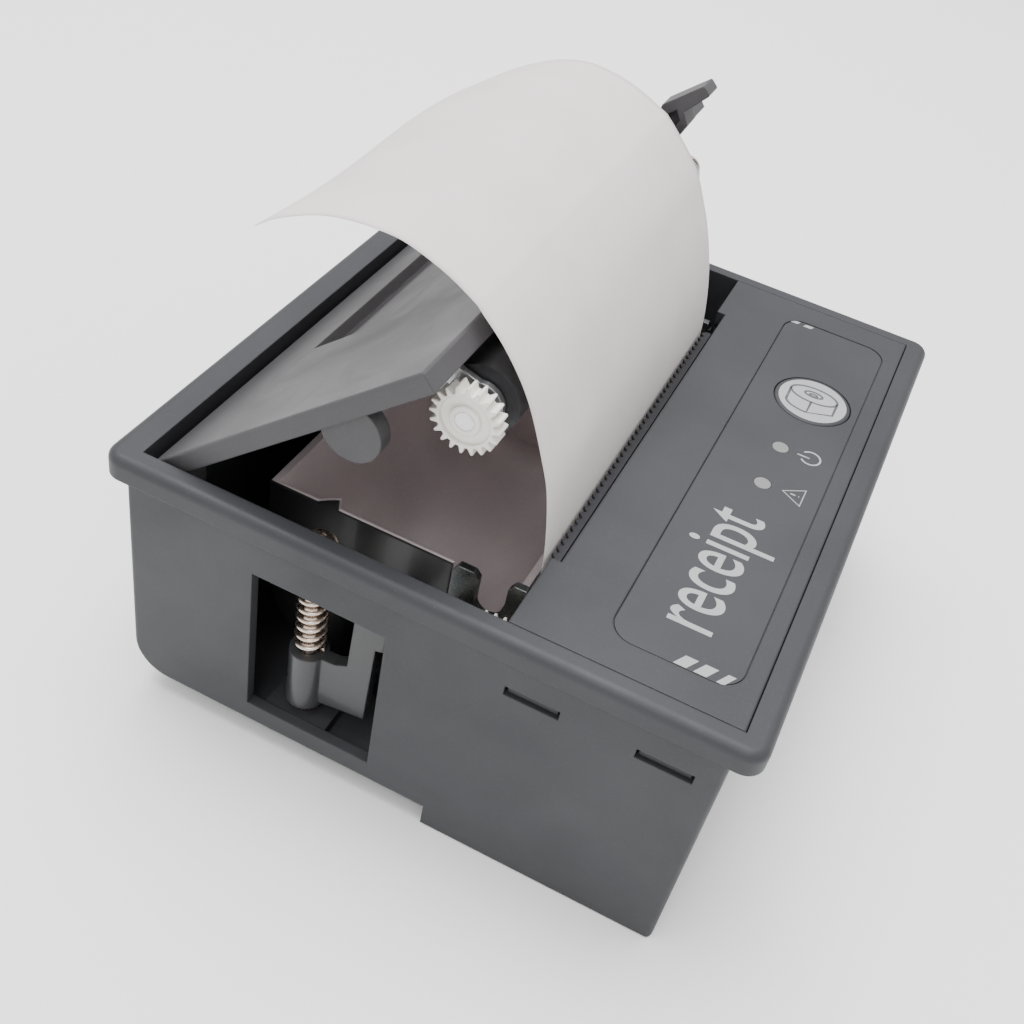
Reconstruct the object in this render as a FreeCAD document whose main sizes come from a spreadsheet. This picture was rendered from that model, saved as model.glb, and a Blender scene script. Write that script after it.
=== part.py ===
"""Panel-mount receipt printer for 58 mm paper, shown with its paper lid open.

Frame: origin at the middle of the bezel, on the panel plane (the underside of the bezel flange).
+Z comes out of the panel, +X runs from the lid hinge to the control cover, +Y runs along the paper's width.
The "near" side is -Y (the gear side) and the "far" side is +Y (the lever side).
Lid pieces are modelled with the lid closed and then turned about the hinge by lid_open_angle.
"""
import FreeCAD, Part
import math
import os
import re

import Sketcher
from FreeCAD import Placement, Rotation, Vector

SIZES = {
    # bezel and body
    "bezel_length": 80.6,
    "bezel_width": 89.8,
    "bezel_thick": 3.2,
    "bezel_round": 1.2,
    "bezel_corner": 2.4,
    "body_left": -37.8,
    "body_right": 37.2,
    "body_half_width": 43.7,
    "body_base": -33.2,
    "foot_start": 5.5,
    "foot_base": -36.1,
    "tail_round": 5.0,
    "wall": 1.5,
    "edge_round": 0.7,
    # control cover
    "cover_left": 10.15,
    "cover_thick": 2.0,
    "cover_gap": 0.1,
    "notch_depth": 1.15,
    "notch_near": -30.6,
    "notch_far": 31.5,
    "label_left": 19.6,
    "label_right": 34.9,
    "label_half_width": 37.7,
    "label_corner": 3.0,
    "label_recess": 0.3,
    "label_thick": 0.22,
    "button_centre_x": 28.35,
    "button_centre_y": 18.67,
    "button_radius": 5.35,
    "button_travel": 0.4,
    "lamp_centre_x": 27.3,
    "power_lamp_y": 5.9,
    "error_lamp_y": -2.7,
    "lamp_radius": 1.1,
    "board_top": -2.0,
    "board_thick": 1.0,
    # windows and snap slots in the long side walls
    "window_left": -20.45,
    "window_right": -2.85,
    "window_low": -29.7,
    "window_high": -6.15,
    "slot_low": -6.15,
    "slot_high": -4.75,
    "slot_length": 6.7,
    "slot_first": 11.9,
    "slot_second": 27.6,
    # lid
    "hinge_x": -33.0,
    "hinge_z": 0.2,
    "lid_open_angle": 41.0,
    "lid_top": 3.0,
    "lid_under": 0.6,
    "lid_end": 8.0,
    "lid_half_width": 41.7,
    "lid_skin": 1.6,
    "hinge_round": 2.8,
    "pin_radius": 1.0,
    # platen
    "platen_x": 4.95,
    "platen_z": -5.05,
    "platen_radius": 4.15,
    "platen_near": -31.7,
    "platen_far": 27.2,
    "shaft_radius": 1.1,
    "bush_radius": 1.6,
    "running_gap": 0.05,
    # mechanism
    "plate_thick": 1.0,
    "near_plate": -32.9,
    "far_plate": 32.9,
    "gear_module": 0.37,
    "gear_plane": -36.3,
    "drive_plane": -38.1,
    "reduction_x": 7.79,
    "reduction_z": -11.13,
    "motor_x": 12.99,
    "motor_z": -20.15,
    "motor_radius": 5.5,
    "motor_length": 14.0,
    "head_face": 9.8,
    "head_pivot_x": 12.15,
    "head_pivot_z": -12.5,
    # paper bucket
    "trough_x": -9.4,
    "trough_z": -15.4,
    "trough_radius": 15.0,
    "bucket_wall": 1.0,
    "bucket_end_wall": 0.7,
    "bucket_near": -31.9,
    "bucket_far": 26.4,
    "bucket_rim": -2.5,
    # panel clamps
    "clamp_x": -14.4,
    "clamp_y": -39.6,
    "clamp_screw_radius": 1.25,
    "clamp_barrel": 2.5,
    "clamp_shelf": -2.3,
    "clamp_barrel_top": -19.0,
    "clamp_barrel_base": -28.2,
    # paper
    "paper_near": -31.5,
    "paper_width": 57.5,
    "paper_thick": 0.1,
}

doc = FreeCAD.newDocument("receipt_printer")
sheet = doc.addObject("Spreadsheet::Sheet", "sizes")
for row, (alias, value) in enumerate(SIZES.items(), start=1):
    sheet.set(f"A{row}", alias)
    sheet.set(f"B{row}", str(value))
    sheet.setAlias(f"B{row}", alias)
doc.recompute()

NODES = []


# ---------------------------------------------------------------- helpers

def size(alias):
    """Read one driving dimension from the sheet."""
    return float(sheet.get(alias))


def formula(text):
    """Turn plain names and numbers into an expression on the sheet's cells."""
    return re.sub(r"[a-z][a-z_]+", lambda word: f"sizes.{word.group()}" if word.group() in SIZES else word.group(),
                  str(text))


def bind(thing, prop, text):
    thing.setExpression(prop, formula(text))


def box(name, x, y, z):
    """Box between two bounds on each axis; every bound is a formula or a number."""
    solid = doc.addObject("Part::Box", name)
    for prop, axis, (low, high) in zip(("Length", "Width", "Height"), "xyz", (x, y, z)):
        bind(solid, prop, f"({high}) - ({low})")
        bind(solid, f"Placement.Base.{axis}", low)
    return solid


TURN_TO = {"x": Rotation(Vector(0, 1, 0), 90), "y": Rotation(Vector(1, 0, 0), -90), "z": Rotation()}


def rod(name, along, centre, span, radius):
    """Cylinder along one axis; centre gives the other two coordinates in X, Y, Z order."""
    solid = doc.addObject("Part::Cylinder", name)
    solid.Placement = Placement(Vector(), TURN_TO[along])
    bind(solid, "Radius", radius)
    bind(solid, "Height", f"({span[1]}) - ({span[0]})")
    others = [axis for axis in "xyz" if axis != along]
    for axis, value in zip(others, centre):
        bind(solid, f"Placement.Base.{axis}", value)
    bind(solid, f"Placement.Base.{along}", span[0])
    return solid


def fuse(name, *pieces):
    solid = doc.addObject("Part::MultiFuse", name)
    solid.Shapes = list(pieces)
    solid.Refine = False
    return solid


def cut(name, base, *tools):
    solid = doc.addObject("Part::Cut", name)
    solid.Base = base
    solid.Tool = tools[0] if len(tools) == 1 else fuse(f"{name}_tools", *tools)
    solid.Refine = False
    return solid


def common(name, one, other):
    solid = doc.addObject("Part::Common", name)
    solid.Base = one
    solid.Tool = other
    return solid


def mirror(name, source):
    """Mirror image on the other side of the XZ plane."""
    image = doc.addObject("Part::Mirroring", name)
    image.Source = source
    image.Base = Vector(0, 0, 0)
    image.Normal = Vector(0, 1, 0)
    return image


def round_edges(name, base, radius, chosen):
    """Round the edges of base that chosen(edge) accepts."""
    doc.recompute()
    numbers = [number for number, edge in enumerate(base.Shape.Edges, start=1) if chosen(edge)]
    if not numbers:
        raise ValueError(f"{name}: no edge to round")
    solid = doc.addObject("Part::Fillet", name)
    solid.Base = base
    solid.Edges = [(number, radius, radius) for number in numbers]
    return solid


def runs_along(edge, axis):
    """True for a straight edge parallel to the axis given as 0, 1 or 2."""
    if edge.Curve.TypeId != "Part::GeomLine":
        return False
    return abs(abs(edge.Curve.Direction[axis]) - 1) < 1e-6


def near_to(value, target):
    return abs(value - target) < 1e-4


def profile(name, outline, low, high):
    """PartDesign body: an outline in the XZ plane, padded from Y = low to Y = high."""
    body = doc.addObject("PartDesign::Body", name)
    plane = next(feature for feature in body.Origin.OriginFeatures if feature.Role == "XZ_Plane")
    sketch = body.newObject("Sketcher::SketchObject", f"{name}_sketch")
    sketch.AttachmentSupport = (plane, "")
    sketch.MapMode = "FlatFace"
    bind(sketch, "AttachmentOffset.Base.z", f"-({high})")
    corners = [Vector(evaluate(x), evaluate(z), 0) for x, z in outline]
    for number, corner in enumerate(corners):
        sketch.addGeometry(Part.LineSegment(corner, corners[(number + 1) % len(corners)]), False)
    for number, (x, z) in enumerate(outline):
        sketch.addConstraint(Sketcher.Constraint("Coincident", number, 2, (number + 1) % len(corners), 1))
        across = sketch.addConstraint(Sketcher.Constraint("DistanceX", -1, 1, number, 1, corners[number].x))
        sketch.setExpression(f"Constraints[{across}]", formula(x))
        up = sketch.addConstraint(Sketcher.Constraint("DistanceY", -1, 1, number, 1, corners[number].y))
        sketch.setExpression(f"Constraints[{up}]", formula(z))
    pad = body.newObject("PartDesign::Pad", f"{name}_pad")
    pad.Profile = sketch
    pad.Reversed = False
    bind(pad, "Length", f"({high}) - ({low})")
    body.Tip = pad
    return body


def evaluate(text):
    """Value of a formula, for a sketch's first geometry."""
    return float(sheet.evalExpression(formula(text)))


def helix(radius, wire, length, turns):
    """Round wire wound about Z from the origin upwards."""
    path = Part.Wire(Part.makeHelix(length / turns, length, radius).Edges)
    section = Part.Wire(Part.makeCircle(wire, Vector(radius, 0, 0), Vector(0, 1, 0)))
    return path.makePipeShell([section], True, True)


def feature(name, shape, placement=Placement()):
    """Document object for a shape that has no primitive of its own."""
    thing = doc.addObject("Part::Feature", name)
    thing.Shape = shape
    thing.Placement = placement.multiply(shape.Placement)
    return thing


def gear_outline(teeth, phase):
    """Closed wire of a spur gear in the XZ plane about the origin; phase is the angle of one tooth's middle."""
    module = size("gear_module")
    pitch = teeth * module / 2
    root = pitch - 1.2 * module
    tip = pitch + 0.9 * module
    half_root = 0.92 * module / root
    half_tip = 0.34 * module / tip
    points = []
    for tooth in range(teeth):
        middle = phase + 2 * math.pi * tooth / teeth
        for radius, angle in ((root, -half_root), (tip, -half_tip), (tip, half_tip), (root, half_root)):
            points.append(Vector(radius * math.cos(middle + angle), 0, radius * math.sin(middle + angle)))
    return Part.makePolygon(points + points[:1])


def gear(teeth, centre, low, high, bore, phase=0.0):
    """Spur gear along Y between two Y values."""
    blank = Part.Face(gear_outline(teeth, phase)).extrude(Vector(0, high - low, 0))
    hole = Part.makeCylinder(bore, high - low + 2, Vector(0, -1, 0), Vector(0, 1, 0))
    wheel = blank.cut(hole)
    wheel.translate(Vector(centre[0], low, centre[1]))
    return wheel


def screw(name, place, along, head, shank, recess=True):
    """Cross-recess screw at place; head and shank are (radius, length), along is +1 or -1 on Z."""
    top = Part.makeCylinder(head[0], head[1])
    top = top.makeFillet(head[1] * 0.35, [top.Edges[0]])
    if recess:
        for turn in (0, 90):
            slot = Part.makeBox(head[0] * 1.1, head[0] * 0.26, head[1] * 0.6)
            slot.translate(Vector(-head[0] * 0.55, -head[0] * 0.13, head[1] * 0.4))
            slot.rotate(Vector(), Vector(0, 0, 1), turn)
            top = top.cut(slot)
    body = top.fuse(Part.makeCylinder(shank[0], shank[1], Vector(0, 0, -shank[1]))).removeSplitter()
    turn = Rotation() if along > 0 else Rotation(Vector(1, 0, 0), 180)
    return feature(name, body, Placement(place, turn))


def group(name, pieces):
    """Separate solids that share one node."""
    bundle = doc.addObject("Part::Compound", name)
    bundle.Links = pieces
    return bundle


def node(label, thing, on_lid=False):
    """Register a finished sub-part under its node name."""
    if on_lid:
        if thing.ExpressionEngine:
            thing.Label = f"{label}_unturned"
            thing = group(f"{label}_on_lid", [thing])
        thing.Placement = LID_OPEN.multiply(thing.Placement)
    thing.Label = label
    NODES.append(thing)


LID_OPEN = Placement(Vector(), Rotation(Vector(0, -1, 0), size("lid_open_angle")),
                     Vector(size("hinge_x"), 0, size("hinge_z")))


# ---------------------------------------------------------------- housing

def make_housing():
    bezel = box("bezel_block", ("-bezel_length / 2", "bezel_length / 2"), ("-bezel_width / 2", "bezel_width / 2"),
                (0, "bezel_thick"))
    bezel = round_edges("bezel_corners", bezel, size("bezel_corner"), lambda edge: runs_along(edge, 2))
    top = size("bezel_thick")
    bezel = round_edges("bezel_rim", bezel, size("bezel_round"),
                        lambda edge: all(near_to(v.Z, top) for v in edge.Vertexes))
    tub = box("tub_block", ("body_left", "body_right"), ("-body_half_width", "body_half_width"), ("body_base", 0.5))
    low, left = size("body_base"), size("body_left")
    tub = round_edges("tub_tail", tub, size("tail_round"),
                      lambda edge: runs_along(edge, 1) and near_to(edge.Vertexes[0].Z, low)
                      and near_to(edge.Vertexes[0].X, left))
    foot = box("foot_block", ("foot_start", "body_right"), ("-body_half_width", "body_half_width"),
               ("foot_base", "body_base + 6"))
    outside = fuse("outside", bezel, tub, foot)
    hollow = box("hollow_tail", ("body_left + wall", "foot_start + 8"),
                 ("-body_half_width + wall", "body_half_width - wall"), ("body_base + wall", "bezel_thick + 1"))
    hollow_left = left + size("wall")
    hollow = round_edges("hollow_tail_round", hollow, size("tail_round") - size("wall"),
                         lambda edge: runs_along(edge, 1) and edge.Vertexes[0].Z < low + 4
                         and near_to(edge.Vertexes[0].X, hollow_left))
    bay = box("hollow_bay", ("foot_start + wall", "body_right - wall"),
              ("-body_half_width + wall", "body_half_width - wall"), ("foot_base - 1", "bezel_thick + 1"))
    seat = box("cover_seat", ("cover_left", "body_right"), ("-body_half_width + wall", "body_half_width - wall"),
               ("bezel_thick - cover_thick", "bezel_thick + 1"))
    windows = box("clamp_windows", ("window_left", "window_right"), (-50, 50), ("window_low", "window_high"))
    cuts = [hollow, bay, seat, windows]
    for number, start in enumerate(("slot_first", "slot_second")):
        cuts.append(box(f"snap_slot_{number}", (start, f"{start} + slot_length"), (-50, 50), ("slot_low", "slot_high")))
    shell = cut("shell_open", outside, *cuts)
    added = []
    for side in (-1, 1):
        wall_in, shelf = ("-body_half_width + wall - 0.5", "-37.3")
        if side > 0:
            wall_in, shelf = ("37.3", "body_half_width - wall + 0.5")
        added.append(box(f"clamp_shelf_{side + 1}", ("clamp_x - 4.4", "clamp_x + 4.4"), (wall_in, shelf),
                         ("clamp_shelf - 3.5", "clamp_shelf")))
        added.append(box(f"clamp_foot_{side + 1}", ("clamp_x - 4.4", "clamp_x + 4.4"), (wall_in, shelf),
                         ("body_base + wall - 0.3", "window_low - 0.3")))
        ledge = ("-body_half_width + wall - 0.5", "-36.2") if side < 0 else ("34.1", "body_half_width - wall + 0.5")
        added.append(box(f"mechanism_ledge_{side + 1}", (11.5, 24.5), ledge, (-28.6, -27)))
        for corner, x in enumerate((9.4, 33.3)):
            added.append(rod(f"cover_post_{side + 1}_{corner}", "z", (x, side * 40.1), ("foot_base + 1.8", -29), 2.4))
    shell = fuse("shell_fitted", shell, *added)
    holes = []
    for side in (-1, 1):
        holes.append(rod(f"clamp_hole_{side + 1}", "z", ("clamp_x", f"{-side} * clamp_y"), (-31.2, 0),
                         "clamp_screw_radius + running_gap"))
        holes.append(rod(f"ledge_hole_{side + 1}", "z", (18, side * 38.4), (-28.7, -26), 0.8))
        span = ("-body_half_width + 0.4", "-body_half_width + 3") if side < 0 else (
            "body_half_width - 3", "body_half_width - 0.4")
        holes.append(rod(f"hinge_hole_{side + 1}", "y", ("hinge_x", "hinge_z"), span, "pin_radius"))
        for corner, x in enumerate((9.4, 33.3)):
            holes.append(rod(f"post_hole_{side + 1}_{corner}", "z", (x, side * 40.1), (-35, -30.5), 0.8))
    holes.append(box("power_opening", (34, 38), (-20.3, -10.7), (-31.2, -23.5)))
    holes.append(box("data_opening", (34, 38), (-2.3, 12.3), (-31.2, -25.3)))
    shell = cut("shell_drilled", shell, *holes)
    foot_low, right = size("foot_base"), size("body_right")
    node("housing_shell", round_edges("housing_shell", shell, size("edge_round"),
                                      lambda edge: is_outer_foot_edge(edge, foot_low, right, left)))


def is_outer_foot_edge(edge, foot_low, right, left):
    """Long outer edges of the body: the corner uprights and the right-hand foot edge."""
    start = edge.Vertexes[0]
    half = size("body_half_width")
    upright = (runs_along(edge, 2) and near_to(abs(start.Y), half)
               and (near_to(start.X, right) or near_to(start.X, left)))
    foot_edge = runs_along(edge, 1) and near_to(start.Z, foot_low) and near_to(start.X, right) and edge.Length > 40
    return upright or foot_edge


def make_bottom_cover():
    plate = box("bottom_plate", ("foot_start + wall + 0.1", "body_right - wall - 0.1"),
                ("-body_half_width + wall + 0.1", "body_half_width - wall - 0.1"), ("foot_base", "foot_base + 1.8"))
    studs = [box(f"board_stud_{x}_{y}", (x, x + 3), (y, y + 3), ("foot_base + 1.7", -32.6))
             for x in (10, 30) for y in (-32, 29)]
    holes = []
    for x in (9.4, 33.3):
        for y in (-40.1, 40.1):
            holes.append(rod(f"screw_hole_{x}_{y}", "z", (x, y), (-37, -34), 1.1))
            holes.append(rod(f"screw_sink_{x}_{y}", "z", (x, y), (-37, "foot_base + 0.9"), 2.1))
    holes.append(rod("bracket_hole_a", "z", (14, 0), (-37, -34), 1.6))
    holes.append(rod("bracket_hole_b", "z", (29, 0), (-37, -34), 1.6))
    node("bottom_cover", cut("bottom_cover", fuse("bottom_solid", plate, *studs), *holes))
    screws = [screw(f"bottom_screw_{x}_{y}", Vector(x, y, size("foot_base") + 0.9), -1, (1.9, 0.8), (0.8, 4.0))
              for x in (9.4, 33.3) for y in (-40.1, 40.1)]
    node("bottom_cover_screws", group("bottom_screws", screws))


# ---------------------------------------------------------------- control cover and its parts

def make_control_cover():
    plate = box("cover_plate", ("cover_left", "body_right - cover_gap"),
                ("-body_half_width + wall + cover_gap", "body_half_width - wall - cover_gap"),
                ("bezel_thick - cover_thick", "bezel_thick"))
    notch = box("cover_notch", ("cover_left - 1", "cover_left + notch_depth"), ("notch_near", "notch_far"), (0, 5))
    recess = box("label_pocket", ("label_left", "label_right"), ("-label_half_width", "label_half_width"),
                 ("bezel_thick - label_recess", 5))
    recess = round_edges("label_pocket_round", recess, size("label_corner"), lambda edge: runs_along(edge, 2))
    under = "bezel_thick - cover_thick"
    ring = rod("button_guide", "z", ("button_centre_x", "button_centre_y"), (-0.4, f"{under} + 0.1"), 7.1)
    ring_hole = rod("button_guide_hole", "z", ("button_centre_x", "button_centre_y"), (-1, under), 6.25)
    button_hole = rod("button_hole", "z", ("button_centre_x", "button_centre_y"), (0, 5), "button_radius + 0.12")
    lamp_holes = [rod(f"lamp_hole_{y}", "z", ("lamp_centre_x", y), (0, 5), "lamp_radius + running_gap")
                  for y in ("power_lamp_y", "error_lamp_y")]
    posts = [rod(f"board_post_{x}_{y}", "z", (x, y), ("board_top", f"{under} + 0.1"), 1.5)
             for x in (19.2, 33.8) for y in (-7.4, 28.4)]
    post_holes = [rod(f"board_post_hole_{x}_{y}", "z", (x, y), ("board_top - 1", 0.6), 0.6)
                  for x in (19.2, 33.8) for y in (-7.4, 28.4)]
    legs = []
    for side in (-1, 1):
        for number, start in enumerate(("slot_first", "slot_second")):
            across = (f"{start} + 0.3", f"{start} + slot_length - 0.3")
            leg_y = ("-body_half_width + wall + cover_gap", "-body_half_width + wall + 1.2")
            barb_y = ("-body_half_width + 0.5", "-body_half_width + wall + 0.6")
            if side > 0:
                leg_y = ("body_half_width - wall - 1.2", "body_half_width - wall - cover_gap")
                barb_y = ("body_half_width - wall - 0.6", "body_half_width - 0.5")
            legs.append(box(f"snap_leg_{side + 1}_{number}", across, leg_y, ("slot_low", f"{under} + 0.1")))
            legs.append(box(f"snap_barb_{side + 1}_{number}", across, barb_y, ("slot_low + 0.15", "slot_high - 0.1")))
    solid = fuse("cover_solid", cut("cover_cut", plate, notch, recess), ring, *posts, *legs)
    post_holes += [rod(f"tear_pilot_{y}", "z", (13.0, y), (0, 2.3), 0.7) for y in (-20, 15)]
    drilled = cut("cover_drilled", solid, ring_hole, button_hole, *lamp_holes, *post_holes)
    top = size("bezel_thick")
    node("control_cover", round_edges(
        "control_cover", drilled, 0.25,
        lambda edge: near_to(edge.BoundBox.ZMin, top) and near_to(edge.BoundBox.ZMax, top)
        and edge.BoundBox.DiagonalLength > 25 and edge.BoundBox.XMin > size("cover_left") - 0.1
        and not 19 < edge.BoundBox.Center.x < 35.5))


def make_label():
    low, high = "bezel_thick - label_recess", "bezel_thick - label_recess + label_thick"
    film = box("film", ("label_left + 0.15", "label_right - 0.15"),
               ("-label_half_width + 0.15", "label_half_width - 0.15"), (low, high))
    film = round_edges("film_round", film, size("label_corner") - 0.15, lambda edge: runs_along(edge, 2))
    holes = [rod(f"film_lamp_{y}", "z", ("lamp_centre_x", y), (0, 5), "lamp_radius + running_gap")
             for y in ("power_lamp_y", "error_lamp_y")]
    holes.append(rod("film_button", "z", ("button_centre_x", "button_centre_y"), (0, 5), "button_radius + 0.12"))
    node("label_overlay", cut("label_overlay", film, *holes))


def make_feed_button():
    centre = ("button_centre_x", "button_centre_y")
    cap = rod("button_cap", "z", centre, (1.0, "bezel_thick"), "button_radius")
    flange = rod("button_flange", "z", centre, (0.5, 1.15), 6.15)
    dish = rod("button_hollow", "z", centre, (0.4, 2.0), 4.4)
    stem = rod("button_stem", "z", centre, (0.35, 2.2), 1.6)
    top = size("bezel_thick")
    solid = fuse("button_solid", cut("button_shell", fuse("button_outer", cap, flange), dish), stem)
    node("feed_button", round_edges("feed_button", solid, 0.3,
                                    lambda edge: near_to(edge.BoundBox.ZMin, top) and near_to(edge.BoundBox.ZMax, top)))
    node("switch_plunger", rod("switch_plunger", "z", centre, (-1.3, 0.35), 1.4))
    base = box("switch_block", ("button_centre_x - 3", "button_centre_x + 3"),
               ("button_centre_y - 3", "button_centre_y + 3"), ("board_top", -0.15))
    node("feed_switch", cut("feed_switch", base, rod("switch_bore", "z", centre, (-1.75, 1), 1.45)))


def make_lamps():
    for name, y in (("power_lamp", "power_lamp_y"), ("error_lamp", "error_lamp_y")):
        pipe = rod(f"{name}_pipe", "z", ("lamp_centre_x", y), (-0.7, "bezel_thick - label_recess + label_thick"),
                   "lamp_radius")
        collar = rod(f"{name}_collar", "z", ("lamp_centre_x", y), (0.6, "bezel_thick - cover_thick"), 1.7)
        node(name, fuse(name, pipe, collar))
    chips = [box(f"lamp_chip_{y}", ("lamp_centre_x - 0.8", "lamp_centre_x + 0.8"), (f"{y} - 0.6", f"{y} + 0.6"),
                 ("board_top", "board_top + 0.8")) for y in ("power_lamp_y", "error_lamp_y")]
    node("lamp_chips", group("lamp_chips", chips))


def make_key_board():
    board = box("key_board_plate", (17.4, 35.3), (-9, 30), ("board_top - board_thick", "board_top"))
    holes = [rod(f"key_board_hole_{x}_{y}", "z", (x, y), (-5, 0), 0.85) for x in (19.2, 33.8) for y in (-7.4, 28.4)]
    node("key_board", cut("key_board", board, *holes))
    low = size("board_top") - size("board_thick")
    screws = [screw(f"key_screw_{x}_{y}", Vector(x, y, low), -1, (1.4, 0.8), (0.6, 2.8))
              for x in (19.2, 33.8) for y in (-7.4, 28.4)]
    node("key_board_screws", group("key_board_screws", screws))


def make_tear_bar():
    """Saw-toothed strip that stands in the notch of the control cover."""
    low, high = -30.4, 25.4
    teeth = 41
    pitch = (high - low) / teeth
    back, root, tip = 11.2, 10.5, 9.85
    points = [Vector(back, low, 0), Vector(root, low, 0)]
    for tooth in range(teeth):
        points.append(Vector(tip, low + pitch * (tooth + 0.5), 0))
        points.append(Vector(root, low + pitch * (tooth + 1), 0))
    points.append(Vector(back, high, 0))
    blade = Part.Face(Part.makePolygon(points + points[:1])).extrude(Vector(0, 0, 0.5))
    blade.translate(Vector(0, 0, 2.5))
    web = Part.makeBox(0.5, high - low, 1.9, Vector(10.7, low, 0.65))
    foot = Part.makeBox(3.8, high - low, 0.5, Vector(10.7, low, 0.65))
    bar = blade.fuse([web, foot]).removeSplitter()
    for y in (-20, 15):
        bar = bar.cut(Part.makeCylinder(0.9, 3, Vector(13.0, y, 0)))
    node("tear_bar", feature("tear_bar", bar))
    screws = [screw(f"tear_screw_{y}", Vector(13.0, y, 0.65), -1, (1.3, 0.6), (0.7, 1.6)) for y in (-20, 15)]
    node("tear_bar_screws", group("tear_bar_screws", screws))


# ---------------------------------------------------------------- electronics

def make_electronics():
    board = box("main_plate", (8.5, 34.8), (-34, 34), (-32.6, -31))
    node("main_board", board)
    chips = [box("chip_processor", (14, 21), (-6, 1), (-31, -29.6)),
             box("chip_driver", (22, 28), (18, 24), (-31, -29.4)),
             box("chip_memory", (13, 17), (8, 12), (-31, -29.9)),
             rod("capacitor", "z", (29, 29), (-31, -25), 2.5)]
    node("board_components", group("board_components", chips))
    for name, (low, high), top, pins in (("power_connector", (-20, -11), -23.8, 2),
                                         ("data_connector", (-2, 12), -25.6, 5)):
        body = box(f"{name}_block", (27, 36.8), (low, high), (-31, top))
        mouth = box(f"{name}_mouth", (29.5, 38), (low + 0.9, high - 0.9), (-30.1, top - 0.9))
        pitch = (high - low) / (pins + 1)
        contacts = [box(f"{name}_pin_{number}", (27.5, 35.5),
                        (low + pitch * (number + 1) - 0.32, low + pitch * (number + 1) + 0.32),
                        ((top - 31) / 2 - 0.32, (top - 31) / 2 + 0.32)) for number in range(pins)]
        node(name, cut(name, body, mouth))
        node(f"{name}_pins", cut(f"{name}_pins", group(f"{name}_contacts", contacts),
                                 box(f"{name}_trim", (27, 29.5), (low, high), (-31, top))))


# ---------------------------------------------------------------- printing mechanism

PLATE_OUTLINE = [(0.0, -2.0), (0.6, -0.9), ("platen_x - bush_radius - running_gap - 0.7", -0.9),
                 ("platen_x - bush_radius - running_gap", -1.7), ("platen_x - bush_radius - running_gap", "platen_z"),
                 ("platen_x + bush_radius + running_gap", "platen_z"),
                 ("platen_x + bush_radius + 0.45", "platen_z + 1.6"), ("platen_x + bush_radius + 0.45", -1.2),
                 (7.7, -0.2), (9.2, -0.2), (9.6, -1.2), (10.3, 0.8), (23.5, 0.8), (26, -1.7),
                 (26, -25), (24, -27), (9.5, -27), (5.0, -24), (5.0, -18), (0.0, -12)]


def make_side_plate(side, low, high):
    """Steel cheek of the print mechanism with an open slot for the platen bush and a foot turned outwards."""
    name = f"{side}_plate"
    sheet_part = profile(f"{name}_sheet", PLATE_OUTLINE, low, high)
    outward = -1 if side == "near" else 1
    foot_y = (-41.2, high) if outward < 0 else (low, 41.2)
    foot = box(f"{name}_foot", (12, 24), foot_y, (-27, -26.2))
    holes = [rod(f"{name}_seat", "y", ("platen_x", "platen_z"), (-50, 50), "bush_radius + running_gap"),
             rod(f"{name}_pivot_hole", "y", ("head_pivot_x", "head_pivot_z"), (-50, 50), "pin_radius"),
             rod(f"{name}_foot_hole", "z", (18, outward * 38.4), (-28, -25), 1.1)]
    if side == "near":
        holes.append(rod(f"{name}_motor_hole", "y", ("motor_x", "motor_z"), (-50, 50), 2.2))
        holes.append(rod(f"{name}_stud_hole", "y", ("reduction_x", "reduction_z"), (-50, 50), "pin_radius"))
        for x in (-4.0, 4.0):
            holes.append(rod(f"{name}_motor_screw_{x}", "y", (f"motor_x + {x}", "motor_z"), (-50, 50), 0.9))
    node(f"{side}_side_plate", cut(f"{side}_side_plate", fuse(f"{name}_solid", sheet_part, foot), *holes))


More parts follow.
